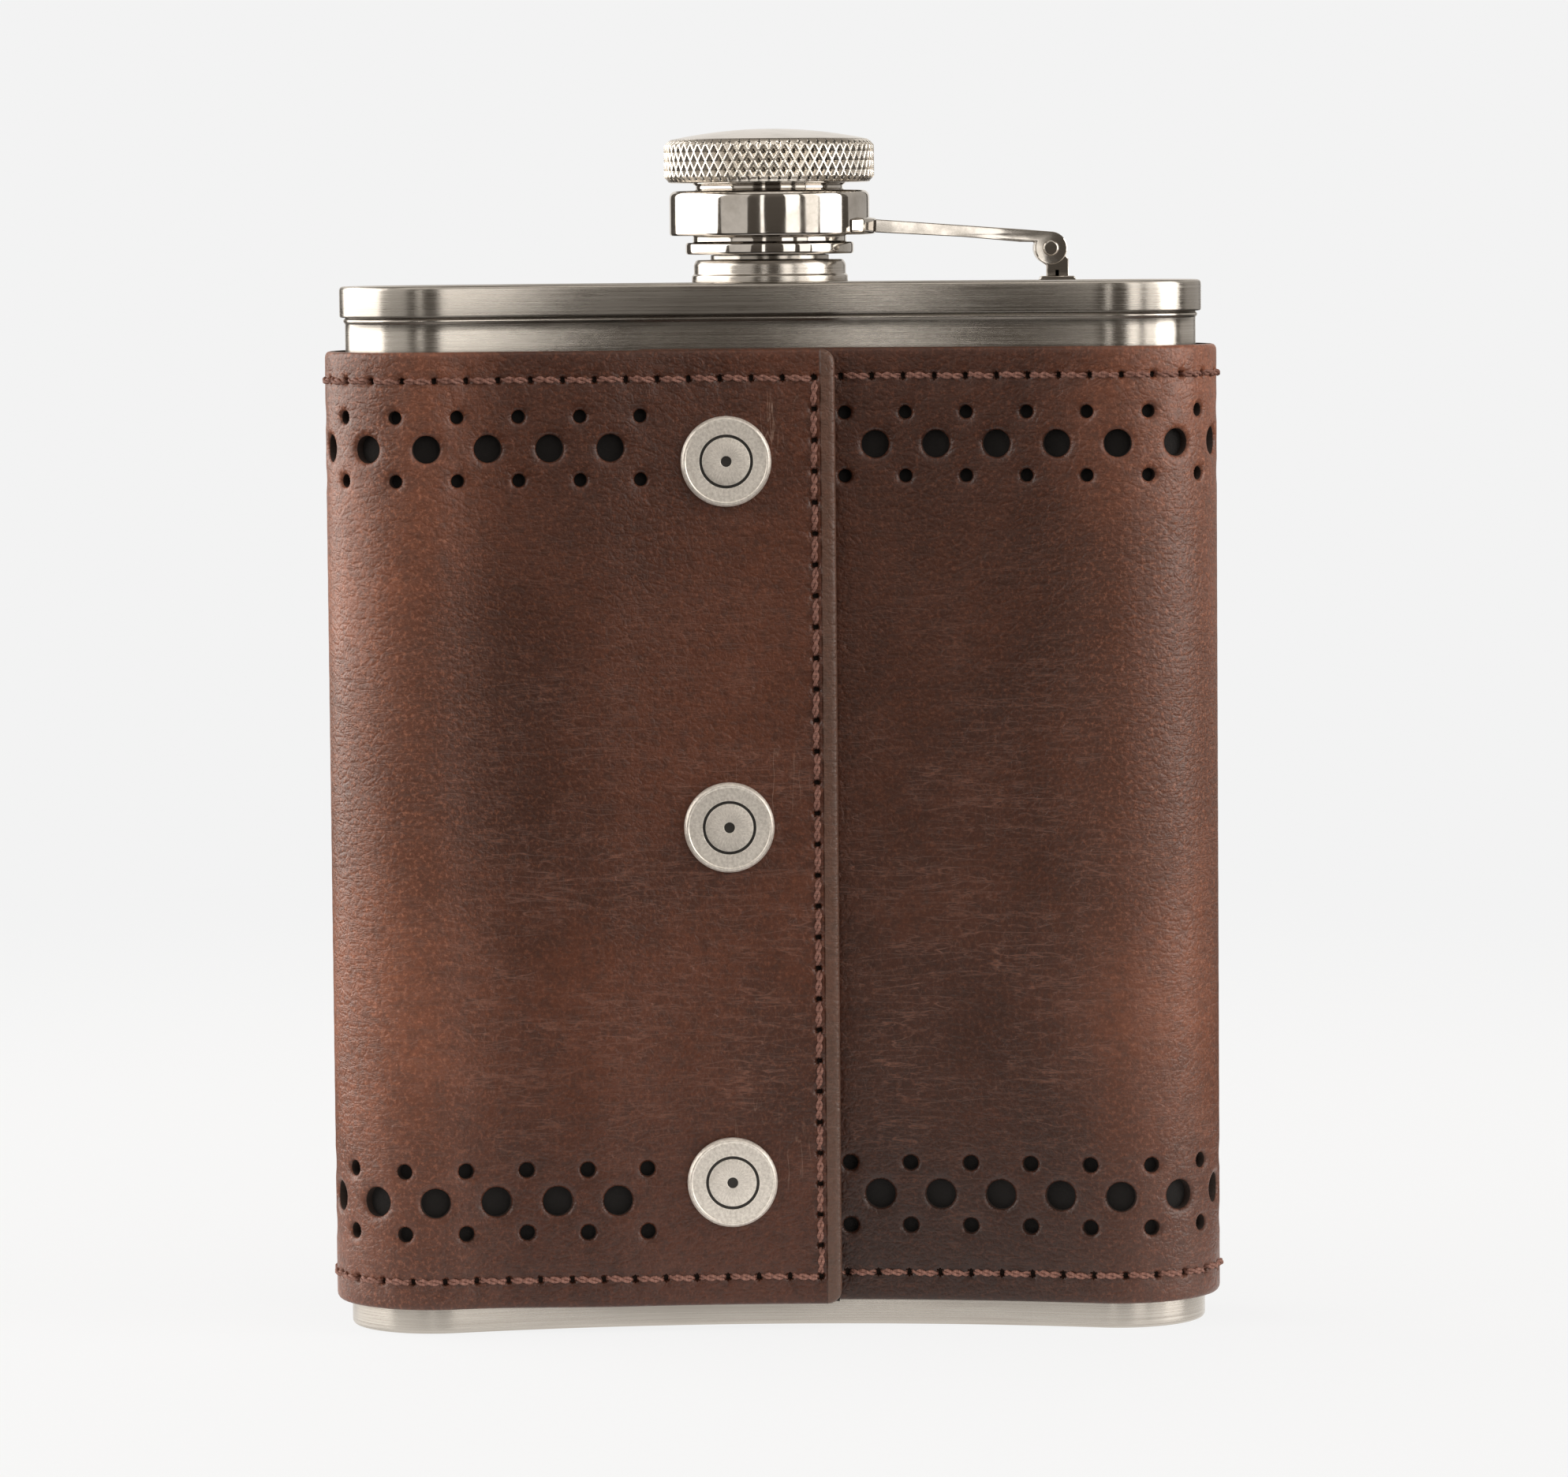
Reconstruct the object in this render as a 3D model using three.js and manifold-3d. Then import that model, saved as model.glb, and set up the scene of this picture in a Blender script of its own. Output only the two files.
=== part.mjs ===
// A curved stainless-steel hip flask with a captive screw cap, in a snap-fastened leather wrap.
// Millimetres, +Z up. The origin is on the base, under the neck's axis. The wrap's flap faces -Y.
import * as THREE from 'three';
import { mergeVertices } from 'three/addons/utils/BufferGeometryUtils.js';
import Module from 'manifold-3d';

const wasm = await Module();
wasm.setup();

// ---- driving dimensions ----
const BEND_RADIUS = 149.5; // the mid surface's radius, centred in front of the flask
const BEND_ANGLE = THREE.MathUtils.degToRad(14.5); // from the middle to the centre of each round end
const FLASK_HEIGHT = 113.8;
const RIM_HALF = 9.5; // half the thickness over the end plates' skirts
const RIM_HEIGHT = 3.4;
const BODY_HALF = 8.9;
const WALL = 0.6;
const FIT = 0.05; // gap between pieces that touch

const NECK_RADIUS = 8.55;
const NECK_BORE = 4.9;
const SPIGOT_RADIUS = 6.2;
const NECK_TOP = FLASK_HEIGHT + 9.7;
const CAP_BOTTOM = FLASK_HEIGHT + 3.1;
const FLANGE_TOP = CAP_BOTTOM + 1.3;
const RING_BOTTOM = FLANGE_TOP + 0.75;
const RING_HEIGHT = 4.9;
const RING_RADIUS = 10.95;
const HEAD_BOTTOM = FLASK_HEIGHT + 10.9;
const HEAD_HEIGHT = 4.75;
const DOME_RISE = 1.15;
const HEAD_RADIUS = 11.5;
const SHANK_RADIUS = 8.4;
const CAP_BORE = 6.95; // wide enough for the cap to swing off the spigot

const PIN = { x: 30.7, z: FLASK_HEIGHT + 3.5, radius: 0.88, length: 6.4 };
const KNUCKLE_RADIUS = 1.8;
const KNUCKLE_BORE = 0.95;
const ARM_THICKNESS = 1.45;
const ARM_WIDTH = 5.8;

const LINING = { inner: 9.65, outer: 9.92 };
const LEATHER = { inner: 9.95, outer: 11.15 };
const FLAP_LIFT = 2.5; // how far the overlapping part of the flap stands off the single layer
const WRAP_BOTTOM = 2.9;
const WRAP_HEIGHT = 103.9;
const UNDERLAP_X = -15;
const FLAP_X = 7;
const STITCH_INSET = 3.1;
const THREAD = { width: 0.6, sunk: 0.05, proud: 0.45 };
const SNAP_X = -5;
const SNAP_HEIGHTS = { bottom: 16.4, middle: 55.1, top: 94.7 };

// ---- materials ----
const steel = new THREE.MeshStandardMaterial({ color: 0x9d968c, roughness: 0.35, metalness: 1 });
const nickel = new THREE.MeshStandardMaterial({ color: 0xcfc8bd, roughness: 0.1, metalness: 1 });
const snapMetal = new THREE.MeshStandardMaterial({ color: 0xb8b4ac, roughness: 0.3, metalness: 1 });
const leather = new THREE.MeshStandardMaterial({ color: 0x50342a, roughness: 0.5, metalness: 0 });
const felt = new THREE.MeshStandardMaterial({ color: 0x161413, roughness: 0.95, metalness: 0 });
const thread = new THREE.MeshStandardMaterial({ color: 0x7c5145, roughness: 0.8, metalness: 0 });
const seal = new THREE.MeshStandardMaterial({ color: 0xd8d6d0, roughness: 0.6, metalness: 0 });

// ---- solids ----
function solidOf(geometry) {
  geometry.deleteAttribute('normal');
  geometry.deleteAttribute('uv');
  const merged = mergeVertices(geometry, 1e-4);
  const vertProperties = merged.attributes.position.array;
  const triVerts = new Uint32Array(merged.index.array);
  return new wasm.Manifold(new wasm.Mesh({ numProp: 3, vertProperties, triVerts }));
}

function geometryOf(solid) {
  const mesh = solid.asOriginal().getMesh();
  const geometry = new THREE.BufferGeometry();
  geometry.setAttribute('position', new THREE.BufferAttribute(mesh.vertProperties, 3));
  geometry.setIndex(new THREE.BufferAttribute(mesh.triVerts, 1));
  return geometry;
}

// Extrudes a plan shape upwards from a height.
function upright(shape, bottom, height, curveSegments = 7) {
  const geometry = new THREE.ExtrudeGeometry(shape, { depth: height, bevelEnabled: false, curveSegments });
  return geometry.translate(0, 0, bottom);
}

// Turns a profile of [radius, height] points about the Z axis.
function turned(profile, segments = 40) {
  const points = profile.map(([r, z]) => new THREE.Vector2(r, z));
  return new THREE.LatheGeometry(points, segments).rotateX(Math.PI / 2);
}

const closed = (profile) => [...profile, profile[0]];

// ---- the curved plan ----
const bendCentre = new THREE.Vector2(0, -BEND_RADIUS);
const endCentre = (side) => new THREE.Vector2(
  side * BEND_RADIUS * Math.sin(BEND_ANGLE), BEND_RADIUS * (Math.cos(BEND_ANGLE) - 1));
const frontAngleAt = (x, half) => Math.asin(x / (BEND_RADIUS - half));

// A point on the front face, by its angle from the middle and its distance from the mid surface.
function frontPoint(angle, half) {
  const r = BEND_RADIUS - half;
  return new THREE.Vector2(r * Math.sin(angle), bendCentre.y + r * Math.cos(angle));
}

// Draws round from the front at one angle, past the right end, the back and the left end.
function drawRound(path, half, startAngle) {
  const up = Math.PI / 2;
  const right = endCentre(1);
  const left = endCentre(-1);
  path.absarc(bendCentre.x, bendCentre.y, BEND_RADIUS - half, up - startAngle, up - BEND_ANGLE, true);
  path.absarc(right.x, right.y, half, -up - BEND_ANGLE, up - BEND_ANGLE, false);
  path.absarc(bendCentre.x, bendCentre.y, BEND_RADIUS + half, up - BEND_ANGLE, up + BEND_ANGLE, false);
  path.absarc(left.x, left.y, half, up + BEND_ANGLE, 3 * up + BEND_ANGLE, false);
}

function drawBack(path, half, startAngle) {
  const up = Math.PI / 2;
  const right = endCentre(1);
  const left = endCentre(-1);
  path.absarc(left.x, left.y, half, 3 * up + BEND_ANGLE, up + BEND_ANGLE, true);
  path.absarc(bendCentre.x, bendCentre.y, BEND_RADIUS + half, up + BEND_ANGLE, up - BEND_ANGLE, true);
  path.absarc(right.x, right.y, half, up - BEND_ANGLE, -up - BEND_ANGLE, true);
  path.absarc(bendCentre.x, bendCentre.y, BEND_RADIUS - half, up - BEND_ANGLE, up - startAngle, false);
}

function kidney(half) {
  const shape = new THREE.Shape();
  drawRound(shape, half, -BEND_ANGLE);
  return shape;
}

function kidneyTube(outer, inner) {
  const shape = kidney(outer);
  shape.holes.push(kidney(inner));
  return shape;
}

// ---- the steel flask ----
function bodyShell() {
  const lap = 0.8;
  return upright(kidneyTube(BODY_HALF, BODY_HALF - WALL), lap, FLASK_HEIGHT - 2 * lap);
}

// A pressed end plate: a flat face with a rounded edge, and a skirt that laps over the body shell.
// facing is 1 for the top and -1 for the base.
function endPlate(facing, boreRadius = 0) {
  const face = facing > 0 ? FLASK_HEIGHT : 0;
  const thickness = 0.7;
  const edge = 0.5;
  const blank = new THREE.ExtrudeGeometry(kidney(RIM_HALF - edge), {
    depth: RIM_HEIGHT - 2 * edge, bevelSize: edge, bevelThickness: edge, bevelSegments: 2, curveSegments: 7 });
  blank.translate(0, 0, facing > 0 ? face - RIM_HEIGHT + edge : edge);
  const insideBase = facing > 0 ? face - thickness - RIM_HEIGHT : thickness;
  const inside = upright(kidney(BODY_HALF + FIT), insideBase, RIM_HEIGHT);
  let plate = solidOf(blank).subtract(solidOf(inside));
  if (boreRadius) {
    plate = plate.subtract(solidOf(turned([
      [0, face - 2], [boreRadius, face - 2], [boreRadius, face + 2], [0, face + 2]], 28)));
  }
  return geometryOf(plate);
}

function neck() {
  const base = FLASK_HEIGHT - 1.2;
  const collarTop = FLASK_HEIGHT + 2.5;
  const ridge = 0.6;
  const pitch = 1.5;
  const profile = [
    [NECK_BORE, base], [NECK_BORE + 1.6, base], [NECK_BORE + 1.6, FLASK_HEIGHT + FIT],
    [NECK_RADIUS, FLASK_HEIGHT + FIT], [NECK_RADIUS, collarTop - 0.4], [NECK_RADIUS - 0.4, collarTop],
    [6.6, collarTop], [6.6, CAP_BOTTOM - 0.1], [SPIGOT_RADIUS - ridge, CAP_BOTTOM],
  ];
  for (let z = CAP_BOTTOM + 0.6; z < NECK_TOP - pitch; z += pitch) {
    profile.push([SPIGOT_RADIUS - ridge, z], [SPIGOT_RADIUS, z + 0.6], [SPIGOT_RADIUS - ridge, z + 1.2]);
  }
  profile.push([SPIGOT_RADIUS - ridge, NECK_TOP], [NECK_BORE, NECK_TOP]);
  return turned(closed(profile), 28);
}

// ---- the captive cap ----
function capInsert() {
  const webTop = HEAD_BOTTOM + 2.3;
  return turned([
    [0, webTop - 1.6], [CAP_BORE, webTop - 1.6], [CAP_BORE, CAP_BOTTOM], [SHANK_RADIUS + 0.8, CAP_BOTTOM],
    [SHANK_RADIUS + 0.8, FLANGE_TOP], [SHANK_RADIUS, FLANGE_TOP], [SHANK_RADIUS, webTop], [0, webTop],
  ], 40);
}

function capHead() {
  const recess = SHANK_RADIUS + FIT;
  const recessTop = HEAD_BOTTOM + 2.4;
  const bandTop = HEAD_BOTTOM + HEAD_HEIGHT;
  const chamfer = 0.4;
  const domeEdge = HEAD_RADIUS - 0.6;
  const profile = [
    [0, recessTop], [recess, recessTop], [recess, HEAD_BOTTOM], [HEAD_RADIUS - chamfer, HEAD_BOTTOM],
    [HEAD_RADIUS, HEAD_BOTTOM + chamfer], [HEAD_RADIUS, bandTop - chamfer], [domeEdge, bandTop],
  ];
  const domeSteps = 5;
  for (let i = 1; i <= domeSteps; i += 1) {
    const r = domeEdge * (1 - i / domeSteps);
    profile.push([r, bandTop + DOME_RISE * (1 - (r / domeEdge) ** 2)]);
  }
  return turned(profile, 40);
}

function capGasket() {
  const bottom = NECK_TOP + 0.35;
  const top = HEAD_BOTTOM + 0.6;
  const radius = CAP_BORE - 0.15;
  return turned([[0, bottom], [radius, bottom], [radius, top], [0, top]], 32);
}

function retainingRing() {
  const top = RING_BOTTOM + RING_HEIGHT;
  const wall = RING_RADIUS - 1.1;
  const lip = SHANK_RADIUS + 0.4;
  return turned(closed([
    [lip, top - 1.2], [wall, top - 1.2], [wall, RING_BOTTOM], [RING_RADIUS, RING_BOTTOM],
    [RING_RADIUS, top - 0.6], [RING_RADIUS - 0.6, top], [lip, top],
  ]), 40);
}

// ---- the hinge ----
// Extrudes a side view drawn in x and z to a width centred on y.
function sideways(shape, width, y = 0, curveSegments = 7) {
  const geometry = new THREE.ExtrudeGeometry(shape, { depth: width, bevelEnabled: false, curveSegments });
  return geometry.rotateX(Math.PI / 2).translate(0, y + width / 2, 0);
}

function disc(radius, x = PIN.x, z = PIN.z) {
  const shape = new THREE.Shape();
  shape.absarc(x, z, radius, 0, 2 * Math.PI, false);
  return shape;
}

function polygon(points) {
  return new THREE.Shape(points.map(([x, z]) => new THREE.Vector2(x, z)));
}

const bracketWidth = 2.2;

function hingeBracket() {
  const foot = FLASK_HEIGHT + FIT;
  const legs = [[PIN.x - 0.4, foot], [PIN.x + 2, foot], [PIN.x + 2, PIN.z - 0.8], [PIN.x + 1.4, PIN.z],
    [PIN.x - 0.4, PIN.z]];
  const slot = [
    [PIN.x + 0.4, foot - 1], [PIN.x + 1.1, foot - 1], [PIN.x + 1.1, foot + 1.2], [PIN.x + 0.4, foot + 1.2],
  ];
  const flange = [
    [PIN.x - 1.2, foot], [PIN.x + 2.8, foot], [PIN.x + 2.8, foot + 0.35], [PIN.x - 1.2, foot + 0.35],
  ];
  return geometryOf(solidOf(sideways(disc(KNUCKLE_RADIUS), bracketWidth))
    .add(solidOf(sideways(polygon(legs), bracketWidth)))
    .subtract(solidOf(sideways(polygon(slot), bracketWidth + 1)))
    .add(solidOf(sideways(polygon(flange), bracketWidth + 1.6)))
    .subtract(solidOf(sideways(disc(KNUCKLE_BORE), bracketWidth + 4))));
}

function hingePin() {
  return sideways(disc(PIN.radius), PIN.length);
}

function hingeArm() {
  const saddleInner = RING_RADIUS + 0.1;
  const saddleOuter = saddleInner + 0.75;
  const saddleAngle = THREE.MathUtils.degToRad(36);
  const saddleMiddle = FLASK_HEIGHT + 6.1;
  const saddle = new THREE.Shape();
  saddle.absarc(0, 0, saddleOuter, -saddleAngle, saddleAngle, false);
  saddle.absarc(0, 0, saddleInner, saddleAngle, -saddleAngle, true);
  const start = [saddleOuter - 0.5, saddleMiddle];
  const end = [PIN.x, PIN.z + KNUCKLE_RADIUS - ARM_THICKNESS / 2];
  const half = ARM_THICKNESS / 2;
  const strip = polygon([[start[0], start[1] - half], [end[0], end[1] - half], [end[0], end[1] + half],
    [start[0], start[1] + half]]);
  const knuckle = solidOf(sideways(disc(KNUCKLE_RADIUS), ARM_WIDTH));
  const clearance = 0.15;
  const bracketRoom = polygon([[PIN.x - 3.2, PIN.z - 4], [PIN.x + 4, PIN.z - 4], [PIN.x + 4, PIN.z + 4],
    [PIN.x - 3.2, PIN.z + 4]]);
  return geometryOf(solidOf(sideways(strip, ARM_WIDTH))
    .add(solidOf(upright(saddle, saddleMiddle - 0.9, 1.8, 5)))
    .add(knuckle)
    .subtract(solidOf(sideways(bracketRoom, bracketWidth + 2 * clearance)))
    .subtract(solidOf(sideways(disc(KNUCKLE_BORE), ARM_WIDTH + 2))));
}

// ---- the leather wrap ----
// A strip that starts on the front at the underlap's edge and runs round to the flap's fold.
function wrapStrip(inner, outer, startX) {
  const shape = new THREE.Shape();
  drawRound(shape, outer, frontAngleAt(startX, outer));
  drawBack(shape, inner, frontAngleAt(startX, outer));
  return shape;
}

const foldGap = 0.04;
const foldAngle = -BEND_ANGLE + foldGap / BEND_RADIUS;

// How far the flap stands off the single layer, from the fold to where it lies on the underlap.
function flapLift(angle) {
  const flatFrom = frontAngleAt(UNDERLAP_X - 1.5, LEATHER.outer);
  return FLAP_LIFT * THREE.MathUtils.smoothstep(angle, foldAngle, flatFrom);
}

function flapStrip(inner, outer, endX) {
  const steps = 22;
  const end = frontAngleAt(endX, outer);
  const edge = (half) => Array.from({ length: steps + 1 }, (_, i) => {
    const angle = foldAngle + (end - foldAngle) * (i / steps);
    return frontPoint(angle, half + flapLift(angle));
  });
  return new THREE.Shape([...edge(inner), ...edge(outer).toReversed()]);
}

// A turned solid whose axis points straight out of the front face at the snap line.
function onSnapLine(geometry, half, height) {
  const angle = frontAngleAt(SNAP_X, LEATHER.outer);
  const at = frontPoint(angle, half);
  return geometry.rotateX(Math.PI / 2).rotateZ(-angle).translate(at.x, at.y, height);
}

function snapHoles(solid, radius) {
  const drill = [[0, -6], [radius, -6], [radius, 6], [0, 6]];
  return Object.values(SNAP_HEIGHTS).reduce((cut, height) => (
    cut.subtract(solidOf(onSnapLine(turned(drill, 20), LEATHER.outer, height)))
  ), solid);
}

function panel(strip, holeRadius) {
  return geometryOf(snapHoles(solidOf(upright(strip, WRAP_BOTTOM, WRAP_HEIGHT)), holeRadius));
}

// A thread along the top and bottom edges, joined by one along the free edge. The window is the plan
// of what is cut away between the two rows.
function stitching(strip, window) {
  const low = WRAP_BOTTOM + STITCH_INSET;
  const high = WRAP_BOTTOM + WRAP_HEIGHT - STITCH_INSET;
  const foldRoom = 1.2; // the rows stop short of the fold, so that they clear each other as it opens
  const fold = frontPoint(foldAngle, LEATHER.outer);
  const whole = solidOf(upright(strip, low - THREAD.width / 2, high - low + THREAD.width));
  return geometryOf(whole
    .subtract(solidOf(upright(window, low + THREAD.width / 2, high - low - THREAD.width)))
    .subtract(solidOf(upright(disc(foldRoom, fold.x, fold.y), 0, FLASK_HEIGHT))));
}

// ---- one press snap, from the outer cap to the post inside the underlap ----
const snapFace = LEATHER.outer + FLAP_LIFT;

const snapPieces = {
  cap: [snapFace + 0.15, [[0, -1.5], [1.3, -1.5], [1.3, 0], [4.6, 0], [4.9, 0.4], [4.5, 0.85], [0, 1]]],
  socket: [LEATHER.outer + 0.12, closed([[2.7, 0], [4.3, 0], [4.3, 0.75], [2.2, 0.75], [2.2, 0.4]])],
  stud: [LEATHER.outer + 0.05, [
    [0, 0], [2.5, 0], [2.5, 0.25], [1.5, 0.25], [1.5, 0.45], [1.9, 0.65], [1.6, 0.9], [0, 0.9],
  ]],
  post: [LINING.inner + 0.05, [[0, 0], [3.4, 0], [3.4, 0.25], [1.3, 0.25], [1.3, 1.5], [0, 1.5]]],
};

// ---- assembly ----
const flask = new THREE.Group();

function piece(name, geometry, material) {
  const mesh = new THREE.Mesh(geometry, material);
  mesh.name = name;
  flask.add(mesh);
}

piece('body_shell', bodyShell(), steel);
piece('top_plate', endPlate(1, NECK_BORE + 1.7), steel);
piece('bottom_plate', endPlate(-1), steel);
piece('neck', neck(), steel);
piece('hinge_bracket', hingeBracket(), nickel);
piece('hinge_pin', hingePin(), nickel);
piece('hinge_arm', hingeArm(), nickel);
piece('retaining_ring', retainingRing(), nickel);
piece('cap_insert', capInsert(), nickel);
piece('cap_gasket', capGasket(), seal);
piece('cap_head', capHead(), nickel);

const threadInner = LEATHER.outer + THREAD.sunk;
const threadOuter = LEATHER.outer + THREAD.proud;
const underThreadX = UNDERLAP_X + 2.3;
const flapThreadX = FLAP_X - 2.3;
const far = 60;
const underWindow = polygon([
  [underThreadX + THREAD.width, -far], [far, -far], [far, far], [-far, far], [-far, -far],
  [underThreadX - 5, -far], [underThreadX - 5, -5], [underThreadX + THREAD.width, -5]]);
const flapWindow = polygon([
  [-far, -far], [flapThreadX - THREAD.width, -far], [flapThreadX - THREAD.width, far], [-far, far]]);

piece('wrap_leather', panel(wrapStrip(LEATHER.inner, LEATHER.outer, UNDERLAP_X), 1.45), leather);
piece('wrap_lining', panel(wrapStrip(LINING.inner, LINING.outer, UNDERLAP_X), 3.6), felt);
piece('wrap_stitching', stitching(wrapStrip(threadInner, threadOuter, underThreadX), underWindow), thread);
piece('flap_leather', panel(flapStrip(LEATHER.inner, LEATHER.outer, FLAP_X), 1.45), leather);
piece('flap_lining', panel(flapStrip(LINING.inner, LINING.outer, FLAP_X), 1.45), felt);
piece('flap_stitching', stitching(flapStrip(threadInner, threadOuter, flapThreadX), flapWindow), thread);

for (const [place, height] of Object.entries(SNAP_HEIGHTS)) {
  for (const [part, [half, profile]] of Object.entries(snapPieces)) {
    piece(`snap_${part}_${place}`, onSnapLine(turned(profile, 20), half, height), snapMetal);
  }
}

export default flask;
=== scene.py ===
"""Looks of a curved steel hip flask with a captive screw cap, in a punched and stitched leather wrap."""
import math
import random

import bmesh
import bpy
import numpy as np
from mathutils import Matrix, Vector
from mathutils.geometry import delaunay_2d_cdt


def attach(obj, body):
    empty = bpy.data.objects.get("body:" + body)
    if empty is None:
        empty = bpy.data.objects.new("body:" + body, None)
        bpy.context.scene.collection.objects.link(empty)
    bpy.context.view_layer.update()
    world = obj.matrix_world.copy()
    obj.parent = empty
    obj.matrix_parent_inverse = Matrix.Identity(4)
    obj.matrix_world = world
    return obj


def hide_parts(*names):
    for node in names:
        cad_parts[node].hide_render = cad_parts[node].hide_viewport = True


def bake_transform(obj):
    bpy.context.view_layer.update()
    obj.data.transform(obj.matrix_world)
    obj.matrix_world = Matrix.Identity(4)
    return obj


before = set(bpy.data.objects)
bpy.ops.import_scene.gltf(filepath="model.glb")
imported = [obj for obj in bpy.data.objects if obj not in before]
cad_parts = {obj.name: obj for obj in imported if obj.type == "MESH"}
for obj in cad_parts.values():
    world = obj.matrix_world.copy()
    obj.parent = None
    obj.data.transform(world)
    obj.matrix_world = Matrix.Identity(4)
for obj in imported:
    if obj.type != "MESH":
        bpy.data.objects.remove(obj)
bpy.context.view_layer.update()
rng = random.Random(7)

MM = 0.001

# ---- dimensions, in millimetres, as in the solids ----
BEND_RADIUS = 149.5
BEND_ANGLE = math.radians(14.5)
FLASK_HEIGHT = 113.8
RIM_HALF = 9.5
RIM_HEIGHT = 3.4
BODY_HALF = 8.9
WALL = 0.6

LEATHER_INNER = 9.95
LEATHER_OUTER = 11.15
LINING_INNER = 9.65
LINING_OUTER = 9.92
FLAP_LIFT = 2.5
WRAP_BOTTOM = 2.9
WRAP_TOP = 106.8
FLAP_DROP = 0.08
UNDERLAP_X = -15.0
FLAP_X = 7.0
STITCH_INSET = 3.1
STITCH_PITCH = 3.4
SNAP_X = -5.0
SNAP_HEIGHTS = {"bottom": 16.4, "middle": 55.1, "top": 94.7}

BROGUE_ROWS = ((14.6, 1.63, 0.84), (96.35, 1.5, 0.72))  # height, large and small radius
BROGUE_PITCH = 6.6
BROGUE_START_X = {"wrap": 11.2, "flap": -17.6}  # the first large hole each side of the overlap
SEAM_CLEARANCE = 2.6  # from the seam on the back to the nearest hole
PRICK_OFFSET = 3.43
SNAP_HOLE_RADIUS = 1.45
EDGE_TO_STITCHES = 2.3
FOLD_WIDTH = 9.0  # the width of the strip where the flap folds open; only its two end points are worked out

NECK_RADIUS = 8.55
NECK_BORE = 4.9
SPIGOT_RADIUS = 6.2
NECK_TOP = FLASK_HEIGHT + 9.7
CAP_BOTTOM = FLASK_HEIGHT + 3.1
FLANGE_TOP = CAP_BOTTOM + 1.3
RING_BOTTOM = FLANGE_TOP + 0.75
RING_HEIGHT = 4.9
RING_RADIUS = 10.95
HEAD_BOTTOM = FLASK_HEIGHT + 10.9
HEAD_HEIGHT = 4.75
DOME_RISE = 1.15
HEAD_RADIUS = 11.5
SHANK_RADIUS = 8.4
CAP_BORE = 6.95

PIN_X = 30.7
PIN_Z = FLASK_HEIGHT + 3.5
PIN_RADIUS = 0.88
KNUCKLE_RADIUS = 1.8
ARM_THICKNESS = 1.45
ARM_WIDTH = 5.8
ARM_JOIN_Z = FLASK_HEIGHT + 6.1  # where the strap meets the ring
THREAD_PITCH = 1.5
OUTLINE_SAMPLES = 320  # points round the flask

ROOM = 0.896  # how bright the room and the table look
PAPER_GLOW = 0.84

# ---- the curved plan ----
# s runs round the flask along the leather's middle, from the centre of the front to the right.
LEATHER_MIDDLE = (LEATHER_INNER + LEATHER_OUTER) / 2
FRONT_HALF = BEND_ANGLE * (BEND_RADIUS - LEATHER_MIDDLE)
END_LENGTH = math.pi * LEATHER_MIDDLE
BACK_LENGTH = 2 * BEND_ANGLE * (BEND_RADIUS + LEATHER_MIDDLE)
ROUND = 2 * FRONT_HALF + 2 * END_LENGTH + BACK_LENGTH
BACK_MIDDLE = FRONT_HALF + END_LENGTH + BACK_LENGTH / 2
END_X = BEND_RADIUS * math.sin(BEND_ANGLE)
END_Y = BEND_RADIUS * (math.cos(BEND_ANGLE) - 1)


def front_s(x):
    """The s of a point on the front with that x."""
    return math.asin(x / (BEND_RADIUS - LEATHER_OUTER)) * (BEND_RADIUS - LEATHER_MIDDLE)


def plan(s, half):
    """x, y and the outward normal's x, y, for arrays of s and of the distance from the mid surface."""
    s = np.asarray(s, float)
    half = np.broadcast_to(np.asarray(half, float), s.shape)
    t = np.mod(s + FRONT_HALF, ROUND)
    x, y, nx, ny = (np.zeros(s.shape) for _ in range(4))

    def bend(where, angle, facing):
        radius = BEND_RADIUS + facing * half[where]
        x[where] = radius * np.sin(angle)
        y[where] = radius * np.cos(angle) - BEND_RADIUS
        nx[where] = facing * np.sin(angle)
        ny[where] = facing * np.cos(angle)

    def end(where, angle, side):
        nx[where] = np.cos(angle)
        ny[where] = np.sin(angle)
        x[where] = side * END_X + half[where] * nx[where]
        y[where] = END_Y + half[where] * ny[where]

    front = t < 2 * FRONT_HALF
    right = ~front & (t < 2 * FRONT_HALF + END_LENGTH)
    back = ~front & ~right & (t < 2 * FRONT_HALF + END_LENGTH + BACK_LENGTH)
    left = ~front & ~right & ~back
    bend(front, t[front] / (BEND_RADIUS - LEATHER_MIDDLE) - BEND_ANGLE, -1)
    end(right, (t[right] - 2 * FRONT_HALF) / LEATHER_MIDDLE - math.pi / 2 - BEND_ANGLE, 1)
    bend(back, BEND_ANGLE - (t[back] - 2 * FRONT_HALF - END_LENGTH) / (BEND_RADIUS + LEATHER_MIDDLE), 1)
    end(left, (t[left] - ROUND + END_LENGTH) / LEATHER_MIDDLE + math.pi / 2 + BEND_ANGLE, -1)
    return x, y, nx, ny


def smoothstep(value, low, high):
    t = np.clip((np.asarray(value, float) - low) / (high - low), 0, 1)
    return t * t * (3 - 2 * t)


def flap_lift(s):
    """How far the flap stands off the single layer."""
    return FLAP_LIFT * smoothstep(s, -FRONT_HALF, front_s(UNDERLAP_X - 1.5))


def flap_droop(s):
    """How much lower the flap hangs than the wrap it closes over."""
    return FLAP_DROP * smoothstep(s, -FRONT_HALF - END_LENGTH, -FRONT_HALF)


def no_lift(s):
    return np.zeros(np.shape(s))


# ---- mesh helpers ----
def unwrapped(corner, polygons):
    """Corners of the faces that close a ring, carried on past its end instead of back to its start."""
    corner = corner.copy()
    span = np.ptp(corner[:, 0])
    for polygon in polygons:
        if polygon.loop_total > 4:
            continue
        u = corner[polygon.loop_start:polygon.loop_start + polygon.loop_total, 0]
        if np.ptp(u) > 0.6 * span > 20:
            u[u < u.max() - 0.6 * span] += span
    return corner


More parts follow.
